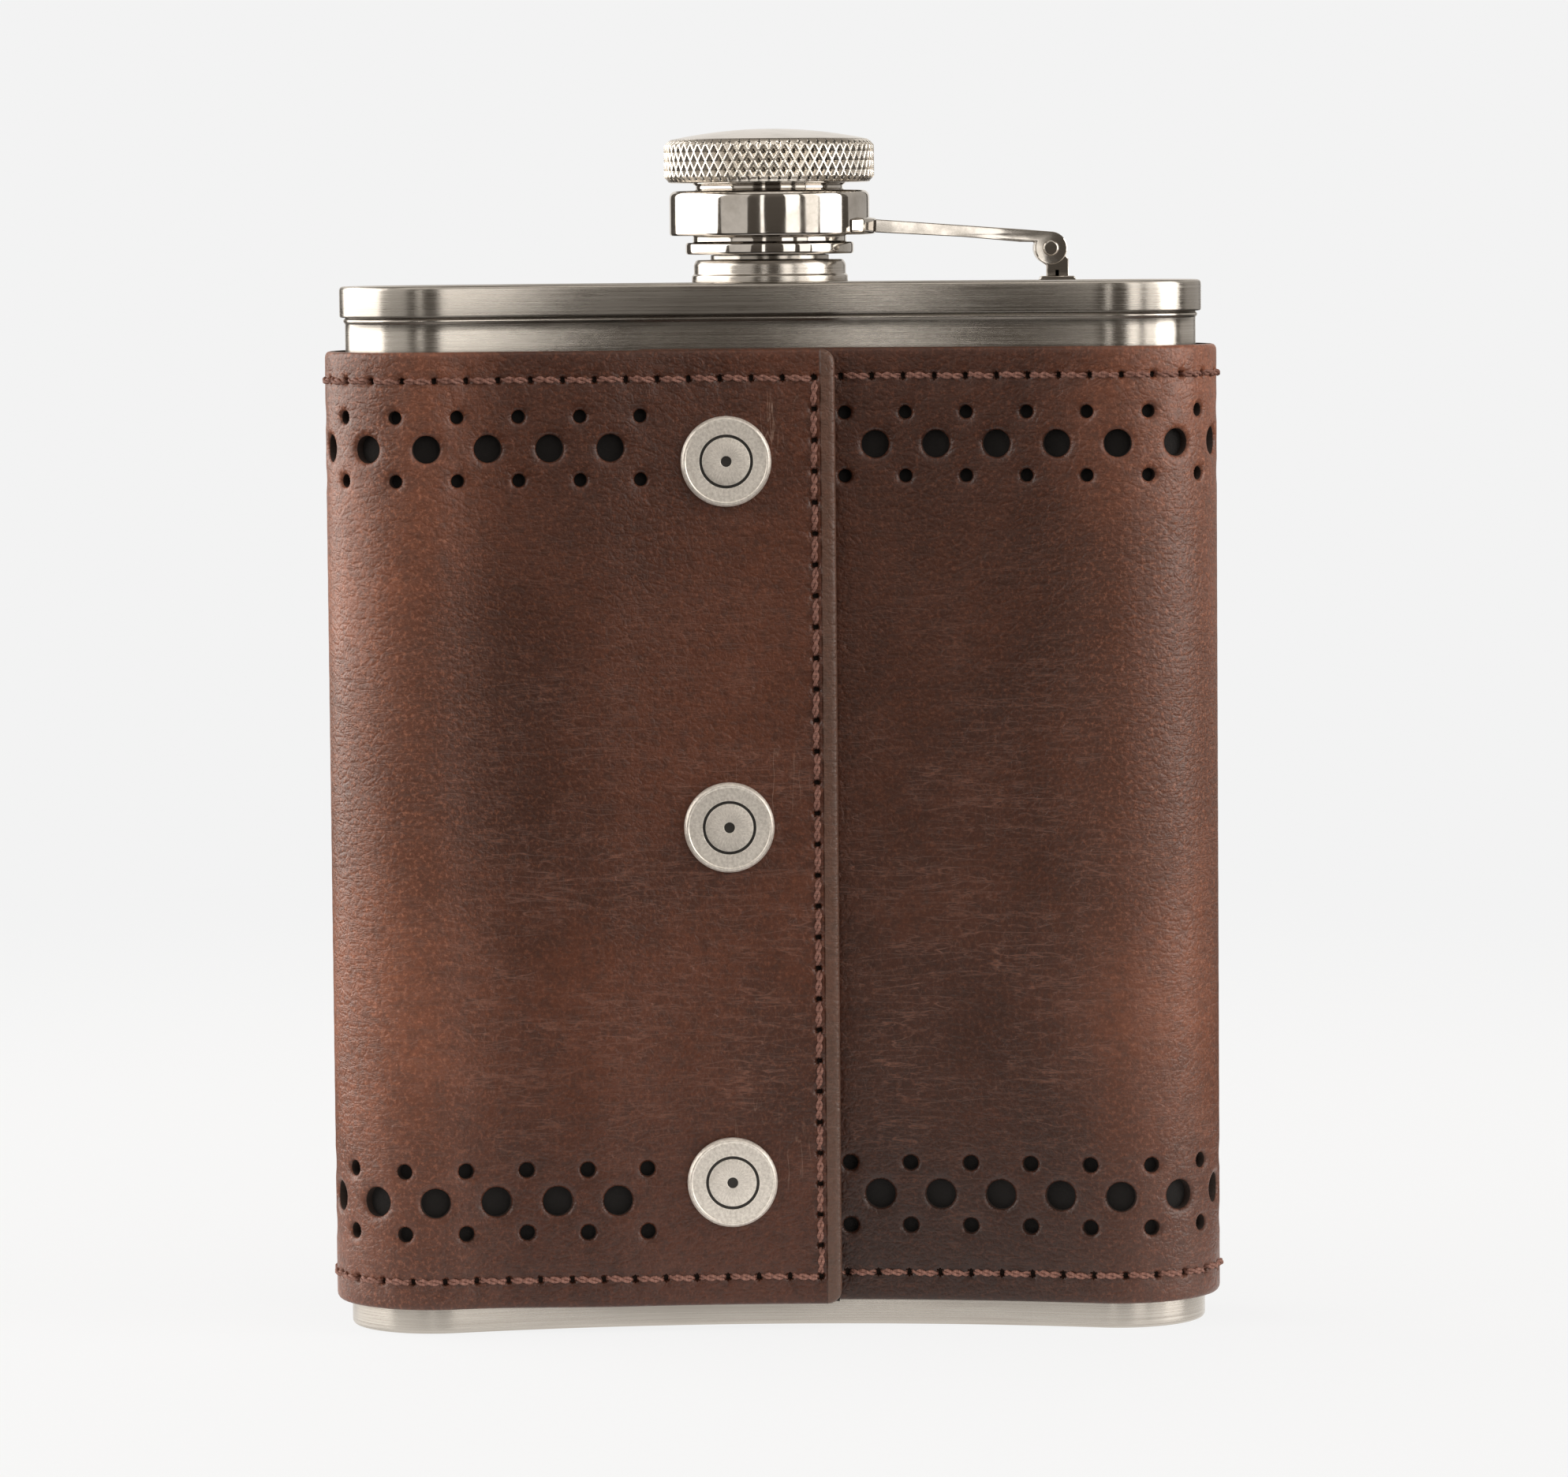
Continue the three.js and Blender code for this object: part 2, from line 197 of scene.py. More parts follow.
def make(name, verts, faces, materials, uv=None, face_materials=None, sharp=None, mend=True):
    """A mesh object from points in millimetres. uv holds one pair for each vertex, or for each corner."""
    mesh = bpy.data.meshes.new(name)
    mesh.from_pydata((np.asarray(verts, float) * MM).tolist(), [], [list(map(int, f)) for f in faces])
    for material in materials:
        mesh.materials.append(material)
    if face_materials is not None:
        mesh.polygons.foreach_set("material_index", np.asarray(face_materials, np.int32))
    if uv is not None:
        layer = mesh.uv_layers.new(name="flat")
        index = np.zeros(len(mesh.loops), np.int32)
        mesh.loops.foreach_get("vertex_index", index)
        uv = np.asarray(uv, float)
        corner = uv if len(uv) == len(index) and len(uv) != len(verts) else uv[index]
        corner = unwrapped(corner, mesh.polygons)
        layer.data.foreach_set("uv", (corner / 100).astype(np.float32).ravel())
    mesh.validate()
    mesh.shade_smooth()
    obj = bpy.data.objects.new(name, mesh)
    bpy.context.scene.collection.objects.link(obj)
    if mend:
        b = bmesh.new()
        b.from_mesh(mesh)
        bmesh.ops.recalc_face_normals(b, faces=b.faces)
        b.to_mesh(mesh)
        b.free()
    if sharp is not None:
        mesh.set_sharp_from_angle(angle=math.radians(sharp))
    return obj


def placed(obj, body, slot, *nodes):
    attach(obj, body)
    if nodes:
        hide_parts(*nodes)


def rounded(profile, radius, steps=4):
    """A polyline of (a, b[, radius]) points with its inner corners rounded."""
    points = []
    for i, point in enumerate(profile):
        here = np.array(point[:2], float)
        r = point[2] if len(point) > 2 else radius
        if i in (0, len(profile) - 1) or r <= 0:
            points.append(here)
            continue
        before = np.array(profile[i - 1][:2], float) - here
        after = np.array(profile[i + 1][:2], float) - here
        cut = min(r, 0.45 * np.linalg.norm(before), 0.45 * np.linalg.norm(after))
        a = here + before / np.linalg.norm(before) * cut
        b = here + after / np.linalg.norm(after) * cut
        for k in range(steps + 1):
            t = k / steps
            points.append((1 - t) ** 2 * a + 2 * t * (1 - t) * here + t * t * b)
    return points


def lathe(name, profile, materials, segments=96, matrix=None, face_material=None, sharp=50, closed=False):
    """Turns (radius, height) points about an axis. uv is (angle, distance along the profile)."""
    profile = [tuple(map(float, p[:2])) for p in profile]
    if closed:
        profile.append(profile[0])
    along = np.concatenate([[0], np.cumsum([math.dist(a, b) for a, b in zip(profile, profile[1:])])])
    verts, rows = [], []
    for k, (r, z) in enumerate(profile):
        if closed and k == len(profile) - 1:
            rows.append(rows[0])
            continue
        if r < 1e-6:
            rows.append([len(verts)] * segments)
            verts.append((0, 0, z))
            continue
        rows.append(list(range(len(verts), len(verts) + segments)))
        for i in range(segments):
            a = 2 * math.pi * i / segments
            verts.append((r * math.cos(a), r * math.sin(a), z))
    faces, face_uv, which = [], [], []
    reach = max(r for r, _ in profile)
    for k in range(len(profile) - 1):
        low, high = rows[k], rows[k + 1]
        if low[0] == low[1] and high[0] == high[1]:
            continue
        for i in range(segments):
            j = (i + 1) % segments
            face = [low[i], low[j], high[j], high[i]]
            corner = [(i, along[k]), (i + 1, along[k]), (i + 1, along[k + 1]), (i, along[k + 1])]
            kept = [n for n in range(4) if face[n] != face[n - 1]]
            faces.append([face[n] for n in kept])
            face_uv.extend((corner[n][0] / segments * 2 * math.pi * reach, corner[n][1]) for n in kept)
            which.append(face_material(k, profile[k], profile[k + 1]) if face_material else 0)
    points = np.array(verts, float)
    if matrix is not None:
        points = np.array([matrix @ Vector(p) for p in points])
    return make(name, points, faces, materials, face_uv, which, sharp)


def band(rows, columns):
    """Quads between rings of vertices. Each row is its first vertex's number."""
    return [[low + i, low + (i + 1) % columns, high + (i + 1) % columns, high + i]
            for low, high in zip(rows, rows[1:]) for i in range(columns)]


def walls(faces, count):
    """Quads that join the free edges of a layer of faces to a second layer, count vertices further on."""
    directed = {(face[i - 1], face[i]) for face in faces for i in range(len(face))}
    return [[b, a, a + count, b + count] for a, b in directed if (b, a) not in directed]


def ring_stack(levels, columns):
    """Rings of points about the z axis. A level is (radius or radii, z, reach).

    Its uv is unrolled at the radius reach, or lies flat as x, y where reach is None.
    """
    a = 2 * math.pi * np.arange(columns) / columns
    verts, uv = [], []
    for radii, z, reach in levels:
        x, y, level = radii * np.cos(a), radii * np.sin(a), np.full(columns, z)
        verts.extend(zip(x, y, level))
        uv.extend(zip(a * reach, level) if reach else zip(x, y))
    return verts, uv, [k * columns for k in range(len(levels))]


def loft(rings):
    """Joins kidney outlines of (half thickness, z). uv is (distance round, distance along the profile)."""
    samples = OUTLINE_SAMPLES
    s = np.arange(samples) / samples * ROUND + BACK_MIDDLE
    verts, uv = [], []
    along = 0
    for k, (half, z) in enumerate(rings):
        if k:
            along += math.dist(rings[k - 1], (half, z))
        x, y, _, _ = plan(s, half)
        verts.extend(zip(x, y, np.full(samples, z)))
        uv.extend(zip(s, np.full(samples, along)))
    return verts, uv, band([k * samples for k in range(len(rings))], samples)


def between(a, b, k, count):
    """The k-th of count equal steps from a to b."""
    return a[0] + (b[0] - a[0]) * k / count, a[1] + (b[1] - a[1]) * k / count


def circle(cx, cy, radius, count, turn=0.0):
    a = np.arange(count) / count * 2 * math.pi + turn
    return np.stack([cx + radius * np.cos(a), cy + radius * np.sin(a)], 1)


# ---- leather panels, cut flat and wrapped round the flask ----
GRID_STEP = (1.25, 1.9)
GRID_CLEARANCE = 1.15  # from a hole or a needle dimple
EDGE_ROUND = 0.75
# Rings of points that carry the relief: distances in from the edge, and (distance, depth) round each hole.
EDGE_RINGS = (0.0, 0.08, 0.22, 0.42, 0.7, 1.05)
HOLE_RINGS = ((0.0, 0.34), (0.1, 0.17), (0.26, 0.09), (0.5, 0.035), (0.85, 0.0))
NEEDLE_RINGS = ((0.27, 0.8), (0.38, 0.22), (0.55, 0.08), (0.85, 0.0))
NEEDLE_DEPTH = 0.85


def edge_drop(distance):
    """How far the burnished edge curves down, by the distance in from it."""
    t = np.clip(1 - np.asarray(distance, float) / EDGE_ROUND, 0, 1)
    return 0.55 * (1 - np.sqrt(np.clip(1 - t ** 2.4, 0, 1)))


def panel_distance(points, low, high, corner, open_low, open_high):
    """Distance inside the panel's free edges. A side that joins another panel doesn't count."""
    s0 = low[0] - (30 if open_low else 0)
    s1 = high[0] + (30 if open_high else 0)
    cx, cy = (s0 + s1) / 2, (low[1] + high[1]) / 2
    qx = np.abs(points[:, 0] - cx) - ((s1 - s0) / 2 - corner)
    qy = np.abs(points[:, 1] - cy) - ((high[1] - low[1]) / 2 - corner)
    outside = np.hypot(np.maximum(qx, 0), np.maximum(qy, 0))
    return corner - outside - np.minimum(np.maximum(qx, qy), 0)


def panel_outline(low, high, corner, open_low, open_high, inset):
    """A closed run of points round the panel, inset from its free edges."""
    x0 = low[0] + (0 if open_low else inset)
    x1 = high[0] - (0 if open_high else inset)
    y0, y1 = low[1] + inset, high[1] - inset
    r = max(corner - inset, 0.3)
    points = []

    def line(a, b):
        count = max(2, round(math.dist(a, b) / GRID_STEP[0]))
        points.extend(between(a, b, k, count) for k in range(count))

    def turn(cx, cy, start, is_open):
        if is_open:
            return
        for k in range(6):
            a = start + math.pi / 2 * k / 6
            points.append((cx + r * math.cos(a), cy + r * math.sin(a)))

    rl = 0 if open_low else r
    rh = 0 if open_high else r
    line((x0 + rl, y0), (x1 - rh, y0))
    turn(x1 - r, y0 + r, -math.pi / 2, open_high)
    line((x1, y0 + rh), (x1, y1 - rh))
    turn(x1 - r, y1 - r, 0, open_high)
    line((x1 - rh, y1), (x0 + rl, y1))
    turn(x0 + r, y1 - r, math.pi / 2, open_low)
    line((x0, y1 - rl), (x0, y0 + rl))
    turn(x0 + r, y0 + r, math.pi, open_low)
    return np.array(points)


def leather_panel(name, low, high, corner, holes, runs, lift, open_low=False, open_high=False,
                  droop=no_lift, along=0.0):
    """A leather piece with punched holes [(s, z, radius)] and a dimple at every needle point of the runs.

    low and high are its (s, z) corners. Its grain starts at the distance along.
    """
    bottom_row, top_row, column = runs
    needles = bottom_row + top_row + column[1:-1]
    shape = (low, high, corner, open_low, open_high)
    points, edges, count = [], [], 0

    def add_loop(loop, joined):
        nonlocal count
        n = len(loop)
        points.append(loop)
        if joined:
            edges.extend((count + i, count + (i + 1) % n) for i in range(n))
        count += n

    for inset in EDGE_RINGS:
        add_loop(panel_outline(*shape, inset), inset == 0)
    for s, z, r in holes:
        n = 28 if r > 1 else 18
        for k, (out, _) in enumerate(HOLE_RINGS):
            add_loop(circle(s, z, r + out, n, math.pi / n * k), k == 0)
    for s, z in needles:
        for k, (r, _) in enumerate(NEEDLE_RINGS):
            add_loop(circle(s, z, r, 8, math.pi / 8 * k), False)
        add_loop(np.array([[s, z]]), False)
    hole_x, hole_z, hole_radius = np.array(holes, float).T
    needle_x, needle_z = np.array(needles, float).T

    def hole_gap(p):
        return (np.hypot(p[:, None, 0] - hole_x, p[:, None, 1] - hole_z) - hole_radius).min(1)

    def needle_gap(p):
        return np.hypot(p[:, None, 0] - needle_x, p[:, None, 1] - needle_z).min(1)

    half_step, margin = 0.6, 0.5
    across = np.arange(low[0] + half_step, high[0] - margin, GRID_STEP[0])
    upward = np.arange(low[1] + 1.2, high[1] - 1.0, GRID_STEP[1])
    grid = np.array([(s + half_step * (k % 2), z) for k, z in enumerate(upward) for s in across])
    keep = panel_distance(grid, *shape) > EDGE_RINGS[-1] + 0.3
    keep &= (hole_gap(grid) > GRID_CLEARANCE) & (needle_gap(grid) > GRID_CLEARANCE)
    keep &= (grid[:, 0] > low[0] + margin) & (grid[:, 0] < high[0] - margin)
    points.append(grid[keep])
    flat = np.concatenate(points)
    out_v, _, out_f, _, _, _ = delaunay_2d_cdt([Vector(p) for p in flat], edges, [], 0, 1e-5)
    flat = np.array([tuple(v) for v in out_v])
    tris = np.array(out_f)
    centre = flat[tris].mean(1)
    in_box = panel_distance(centre, *shape) > 0
    in_box &= (centre[:, 0] > low[0]) & (centre[:, 0] < high[0])
    tris = tris[in_box & (hole_gap(centre) > -0.012)]

    distance = panel_distance(flat, *shape)
    drop = edge_drop(distance)
    drop += np.interp(hole_gap(flat), *zip(*HOLE_RINGS))
    drop += np.interp(needle_gap(flat), *zip((0, NEEDLE_DEPTH), *NEEDLE_RINGS))
    raise_by = lift(flat[:, 0])
    outer = LEATHER_OUTER + raise_by - drop
    inner = LEATHER_INNER + raise_by + 0.12 * (distance < 0.05)
    n = len(flat)
    verts = np.zeros((2 * n, 3))
    for k, half in enumerate((outer, inner)):
        verts[k * n:(k + 1) * n, 0], verts[k * n:(k + 1) * n, 1], _, _ = plan(flat[:, 0], half)
        verts[k * n:(k + 1) * n, 2] = flat[:, 1] - droop(flat[:, 0])
    sides = walls(tris.tolist(), n)
    faces = [*tris, *([a + n, c + n, b + n] for a, b, c in tris), *sides]
    # Needle dimples take the dark flesh finish, the cut leather's tone used as painted shade in the needle
    # holes.
    pricked = needle_gap(flat[tris].mean(1)) < 0.36
    punched = hole_gap(flat) < 0.05
    which = [2 if dark else 0 for dark in pricked] + [2] * len(tris)
    which += [2 if punched[a] and punched[b] else 1 for b, a, _, _ in sides]
    uv = np.concatenate([flat, flat]) + (along, 0)
    return make(name, verts, faces, LEATHER, uv, which, 62, mend=False)


def needle_points(start, end):
    """Evenly spaced needle holes from start to end, both included, near the stitch pitch."""
    length = math.dist(start, end)
    count = max(1, round(length / STITCH_PITCH))
    return [between(start, end, k, count) for k in range(count + 1)]


def stitches(name, runs, lift, droop=no_lift):
    """Twisted thread between neighbouring needle holes. Each run is a list of needle points."""
    verts, faces, uv = [], [], []
    rings, sides, strand = 11, 6, 0.2
    inset = 0.24  # from a needle point to the thread's end
    for run in runs:
        for a, b in zip(run, run[1:]):
            a, b = np.array(a), np.array(b)
            length = np.linalg.norm(b - a)
            along = (b - a) / length
            across = np.array([-along[1], along[0]])
            lean = rng.uniform(0.02, 0.16)
            bulge = rng.uniform(0.85, 1.05)
            side_shift = rng.uniform(-0.05, 0.05)
            phase = rng.uniform(0, math.pi)
            for ply in range(2):
                base = len(verts)
                for k in range(rings):
                    t = k / (rings - 1)
                    swell = math.sin(math.pi * t)
                    twist = phase + math.pi * ply + 2.4 * math.pi * t
                    centre = a + along * (inset + (length - 2 * inset) * t)
                    centre = centre + across * (side_shift + lean * (0.5 - t) * 2)
                    rise = -0.5 + 0.64 * bulge * swell ** 0.4
                    wide = strand * (0.72 + 0.28 * swell ** 0.5)
                    for i in range(sides):
                        q = 2 * math.pi * i / sides
                        off = 0.19 * math.cos(twist) + wide * math.cos(q)
                        up = 0.12 * math.sin(twist) + wide * math.sin(q)
                        p = centre + across * off
                        verts.append((p[0], p[1], rise + up))
                        uv.append((t * length, q))
                rows = [base + k * sides for k in range(rings)]
                faces += band(rows, sides) + [[row + i for i in range(sides)] for row in (rows[0], rows[-1])]
    flat = np.array(verts)
    half = LEATHER_OUTER + lift(flat[:, 0]) + flat[:, 2]
    x, y, _, _ = plan(flat[:, 0], half)
    z = flat[:, 1] - droop(flat[:, 0])
    return make(name, np.stack([x, y, z], 1), faces, [THREAD], uv, sharp=60)


def lining_panel(name, s0, s1, z0, z1, lift):
    """A plain lining: a thin curved sheet with square edges."""
    s = np.linspace(s0, s1, round((s1 - s0) / 1.5) + 1)
    z = np.linspace(z0, z1, 24)
    verts, uv = [], []
    for half in (LINING_OUTER, LINING_INNER):
        x, y, _, _ = plan(s, half + lift(s))
        for height in z:
            verts.extend(zip(x, y, np.full(len(s), height)))
            uv.extend(zip(s, np.full(len(s), height)))
    n = len(s)
    corners = [k for k in range(n * (len(z) - 1)) if k % n < n - 1]
    sheet = [[k, k + 1, k + n + 1, k + n] for k in corners]
    under = [[len(verts) // 2 + k for k in (a, d, c, b)] for a, b, c, d in sheet]
    faces = sheet + under + walls(sheet, len(verts) // 2)
    return make(name, verts, faces, [SUEDE], uv, sharp=50)


# ---- materials ----
class Nodes:
    """A short way to wire a material's nodes."""

    def __init__(self, name):
        self.material = bpy.data.materials.new(name)
        self.material.use_nodes = True
        self.tree = self.material.node_tree
        self.shader = self.tree.nodes["Principled BSDF"]
        self.uv = self.node("ShaderNodeUVMap", uv_map="flat").outputs["UV"]

    def node(self, kind, inputs=None, **settings):
        made = self.tree.nodes.new(kind)
        for key, value in settings.items():
            setattr(made, key, value)
        for key, value in (inputs or {}).items():
            self.put(made.inputs[key], value)
        return made

    def put(self, socket, value):
        if isinstance(value, bpy.types.NodeSocket):
            self.tree.links.new(value, socket)
        else:
            socket.default_value = value

    def set(self, **values):
        for key, value in values.items():
            self.put(self.shader.inputs[key.replace("_", " ")], value)

    def scaled(self, x, y, turn=0.0):
        """The flat coordinate in cycles: x and y are cycles per 100 mm."""
        made = self.node("ShaderNodeMapping", {"Vector": self.uv, "Scale": (x, y, 1.0),
                                               "Rotation": (0, 0, turn)})
        return made.outputs["Vector"]

    def noise(self, vector, scale=1.0, detail=4.0, roughness=0.55, distortion=0.0):
        made = self.node("ShaderNodeTexNoise", {"Vector": vector, "Scale": scale, "Detail": detail,
                                                "Roughness": roughness, "Distortion": distortion})
        return made.outputs["Fac"]

    def cells(self, vector):
        """The distance to the edge of irregular cells."""
        made = self.node("ShaderNodeTexVoronoi", {"Vector": vector, "Scale": 1.0}, feature="DISTANCE_TO_EDGE")
        return made.outputs["Distance"]

    def contours(self, vector, width):
        """Thin wandering lines, where a smooth noise crosses its middle value."""
        field = self.noise(vector, detail=3.0, roughness=0.5)
        away = self.math("ABSOLUTE", self.math("SUBTRACT", field, 0.5))
        return self.ramp(away, 0.0, width, 1.0, 0.0)

    def ramp(self, value, low, high, to_low=0.0, to_high=1.0):
        made = self.node("ShaderNodeMapRange", {"Value": value, "From Min": low, "From Max": high,
                                                "To Min": to_low, "To Max": to_high},
                         interpolation_type="SMOOTHSTEP")
        return made.outputs["Result"]

    def math(self, operation, a, b=0.0):
        return self.node("ShaderNodeMath", {0: a, 1: b}, operation=operation).outputs[0]

    def times(self, a, b):
        return self.math("MULTIPLY", a, b)

    def mix(self, factor, a, b, blend="MIX"):
        made = self.node("ShaderNodeMix", data_type="RGBA", blend_type=blend)
        self.put(made.inputs["Factor"], factor)
        self.put(made.inputs["A"], a)
        self.put(made.inputs["B"], b)
        return made.outputs["Result"]

    def layered(self, colour, layers):
        """Tones laid over a colour, each by its mask times an amount."""
        for mask, amount, tone in layers:
            colour = self.mix(self.times(mask, amount), colour, rgb(*tone))
        return colour

    def bump(self, height, distance, strength=1.0, normal=None):
        inputs = {"Height": height, "Distance": distance * MM, "Strength": strength}
        if normal is not None:
            inputs["Normal"] = normal
        return self.node("ShaderNodeBump", inputs).outputs["Normal"]

    def axis(self, which):
        return self.node("ShaderNodeSeparateXYZ", {"Vector": self.uv}).outputs[which]


def rgb(r, g, b):
    return (r, g, b, 1.0)


def leather_material():
    """Pull-up leather: cloudy brown. Painted shade makes it darker towards the bottom, painted light and sheen
    make it paler where it bends over the flask's ends, a painted highlight lies along the flap's edge, and it
    is darker to the right of the flap.
    """
    n = Nodes("waxed_leather")
    once = ROUND / 100  # the flap's own coordinate starts one round later, where the wrap's ends
    pebble = n.cells(n.scaled(185, 185))
    wander = n.noise(n.scaled(11, 11), detail=5, roughness=0.6)
    blotch = n.noise(n.scaled(2.6, 2.1), detail=6, roughness=0.62, distortion=0.4)
    speckle = n.noise(n.scaled(230, 190), detail=4, roughness=0.75)
    freckle = n.noise(n.scaled(75, 62), detail=5, roughness=0.75)
    crease = n.contours(n.scaled(7, 44), 0.016)
    fine_crease = n.contours(n.scaled(15, 84), 0.024)
    cross = n.contours(n.scaled(52, 26), 0.012)
    low = n.ramp(n.axis("Y"), 0.10, 0.3, 0.3, 1.0)
    high = n.ramp(n.axis("Y"), 0.5, 0.95, 1.0, 0.25)
    where = n.times(n.times(low, high), n.ramp(wander, 0.32, 0.62))
    wrinkle = n.math("MAXIMUM", crease, n.times(fine_crease, 0.7))
    wrinkle = n.math("MAXIMUM", wrinkle, n.times(cross, 0.35))
    wrinkle = n.times(n.times(wrinkle, where), n.ramp(freckle, 0.34, 0.58))
    scuff = n.contours(n.scaled(46, 7, math.radians(24)), 0.012)
    scuffed = 0.0
    for height in SNAP_HEIGHTS.values():
        beside = (once + (SNAP_X + 4.2) / 100, (height + 4.0) / 100, 0)
        away = n.node("ShaderNodeVectorMath", {0: n.uv, 1: beside}, operation="DISTANCE").outputs["Value"]
        scuffed = n.math("ADD", n.ramp(away, 0.02, 0.06, 1.0, 0.0), scuffed)
    scuff = n.times(n.times(scuff, scuffed), n.ramp(wander, 0.40, 0.56))
    along = n.math("MINIMUM", n.math("ABSOLUTE", n.axis("X")),
                   n.math("ABSOLUTE", n.math("SUBTRACT", n.axis("X"), once)))
    # Painted light and sheen: the leather round the flask's ends is made paler.
    painted_end_light = n.times(n.ramp(along, 0.27, 0.46), n.ramp(along, 0.58, 0.80, 1.0, 0.0))
    # Darker to the right of the flap and round the right end, most towards the bottom.
    right_side_darkening = n.times(n.ramp(n.axis("X"), -0.1, 0.12), n.ramp(n.axis("X"), 0.9, 1.6, 1.0, 0.0))
    right_side_darkening = n.times(right_side_darkening, n.ramp(n.axis("Y"), 0.25, 0.8, 1.0, 0.35))
    # Paler band along the flap's edge: the burnished edge's tone, and a painted highlight on its rounded bead.
    edge = once + FLAP_X / 100
    rim = n.ramp(n.axis("X"), edge - 0.0165, edge - 0.0145)
    base = n.mix(n.ramp(blotch, 0.36, 0.66), rgb(0.051, 0.0168, 0.0090), rgb(0.106, 0.0328, 0.0160))
    base = n.layered(base, ((n.ramp(speckle, 0.48, 0.66), 0.40, (0.24, 0.084, 0.043)),
                            (n.ramp(freckle, 0.44, 0.64), 0.5, (0.040, 0.0165, 0.0105)),
                            (right_side_darkening, 0.34, (0.022, 0.010, 0.007))))
    # Painted light: paler where the leather goes round the flask's ends.
    base = n.mix(painted_end_light, base, rgb(2.9, 3.35, 3.8), "MULTIPLY")
    # Painted shade: darker towards the bottom.
    painted_low_shade = n.ramp(n.axis("Y"), 0.02, 0.42, 1.0, 0.0)
    base = n.mix(painted_low_shade, base, rgb(0.60, 0.56, 0.54), "MULTIPLY")
    base = n.layered(base, ((wrinkle, 0.46, (0.27, 0.108, 0.066)), (scuff, 0.6, (0.34, 0.22, 0.165)),
                            (rim, 0.4, (0.16, 0.105, 0.080))))
    pores = n.ramp(pebble, 0.0, 0.25)
    height = n.math("ADD", n.times(pores, 0.35), n.times(speckle, 0.5))
    normal = n.bump(height, 0.07, 0.7)
    normal = n.bump(n.times(wrinkle, -1.0), 0.08, 0.8, normal)
    normal = n.bump(n.ramp(n.cells(n.scaled(64, 92)), 0.0, 0.2), 0.045, 0.6, normal)
    normal = n.bump(rim, 0.25, 0.8, normal)
    normal = n.bump(wander, 0.5, 0.3, normal)
    normal = n.bump(blotch, 1.6, 0.25, normal)
    rough = n.ramp(n.math("ADD", n.times(speckle, 0.6), n.times(wander, 0.4)),
                   0.3, 0.7, 0.30, 0.45)
    n.set(Base_Color=base, Roughness=rough, Normal=normal, Specular_IOR_Level=0.42)
    return n.material


def two_tone(name, cycles, detail, tones, gloss, relief=None, spread=None, gloss_spread=(0.3, 0.7),
             roughness=0.55, metallic=0.0):
    """A finish whose tone, gloss and relief all follow one noise."""
    n = Nodes(name)
    field = n.noise(n.scaled(*cycles), detail=detail, roughness=roughness)
    factor = n.ramp(field, *spread) if spread else field
    n.set(Base_Color=n.mix(factor, rgb(*tones[0]), rgb(*tones[1])), Metallic=metallic,
          Roughness=n.ramp(field, *gloss_spread, *gloss))
    if relief:
        n.set(Normal=n.bump(field, *relief))
    return n.material


def lining_material():
    n = Nodes("dark_suede")
    fuzz = n.noise(n.scaled(260, 260), detail=5, roughness=0.75)
    patch = n.noise(n.scaled(9, 9), detail=3)
    colour = n.mix(n.times(fuzz, patch), rgb(0.006, 0.005, 0.005), rgb(0.028, 0.022, 0.019))
    n.set(Base_Color=colour, Roughness=n.ramp(fuzz, 0.2, 0.8, 0.88, 1.0), Normal=n.bump(fuzz, 0.12, 0.8))
    return n.material


def thread_material():
    n = Nodes("waxed_thread")
    fibre = n.noise(n.scaled(500, 16), detail=3)
    tone = n.noise(n.scaled(24, 24), detail=2)
    colour = n.mix(n.ramp(fibre, 0.3, 0.7), rgb(0.15, 0.062, 0.045), rgb(0.36, 0.175, 0.13))
    colour = n.layered(colour, ((tone, 0.35, (0.10, 0.04, 0.03)),))
    n.set(Base_Color=colour, Roughness=n.ramp(fibre, 0.2, 0.8, 0.55, 0.8), Normal=n.bump(fibre, 0.04, 0.7))
    return n.material


def brushed_steel(name, tint=1.0, along=(3.5, 900), rough=(0.18, 0.30), anisotropy=0.8, metallic=1.0):
    n = Nodes(name)
    streak = n.noise(n.scaled(*along), detail=5, roughness=0.65)
    broad = n.noise(n.scaled(5, 60), detail=4, roughness=0.6)
    smear = n.noise(n.scaled(4, 9), detail=4, roughness=0.55, distortion=0.6)
    colour = n.mix(n.ramp(streak, 0.3, 0.7), rgb(0.43 * tint, 0.395 * tint, 0.355 * tint),
                   rgb(0.58 * tint, 0.545 * tint, 0.50 * tint))
    colour = n.layered(colour, ((n.ramp(broad, 0.45, 0.75), 0.25, (0.40, 0.36, 0.32)),))
    roughness = n.math("ADD", n.ramp(streak, 0.25, 0.75, rough[0], rough[1]),
                       n.ramp(smear, 0.35, 0.75, -0.02, 0.08))
    normal = n.bump(streak, 0.02, 0.45)
    normal = n.bump(smear, 0.5, 0.10, normal)
    n.set(Base_Color=colour, Roughness=roughness, Normal=normal, Metallic=metallic, Anisotropic=anisotropy,
          Anisotropic_Rotation=0.25)
    return n.material


def polished_nickel():
    n = Nodes("polished_nickel")
    smudge = n.noise(n.scaled(22, 22), detail=5, roughness=0.62)
    wave = n.noise(n.scaled(9, 12), detail=2)
    fine = n.noise(n.scaled(12, 420), detail=3)
    colour = n.mix(n.ramp(smudge, 0.4, 0.7), rgb(0.64, 0.60, 0.555), rgb(0.50, 0.465, 0.42))
    normal = n.bump(fine, 0.004, 0.5)
    normal = n.bump(wave, 0.25, 0.25, normal)
    n.set(Base_Color=colour, Roughness=n.ramp(smudge, 0.35, 0.75, 0.05, 0.14), Normal=normal, Metallic=1.0)
    return n.material


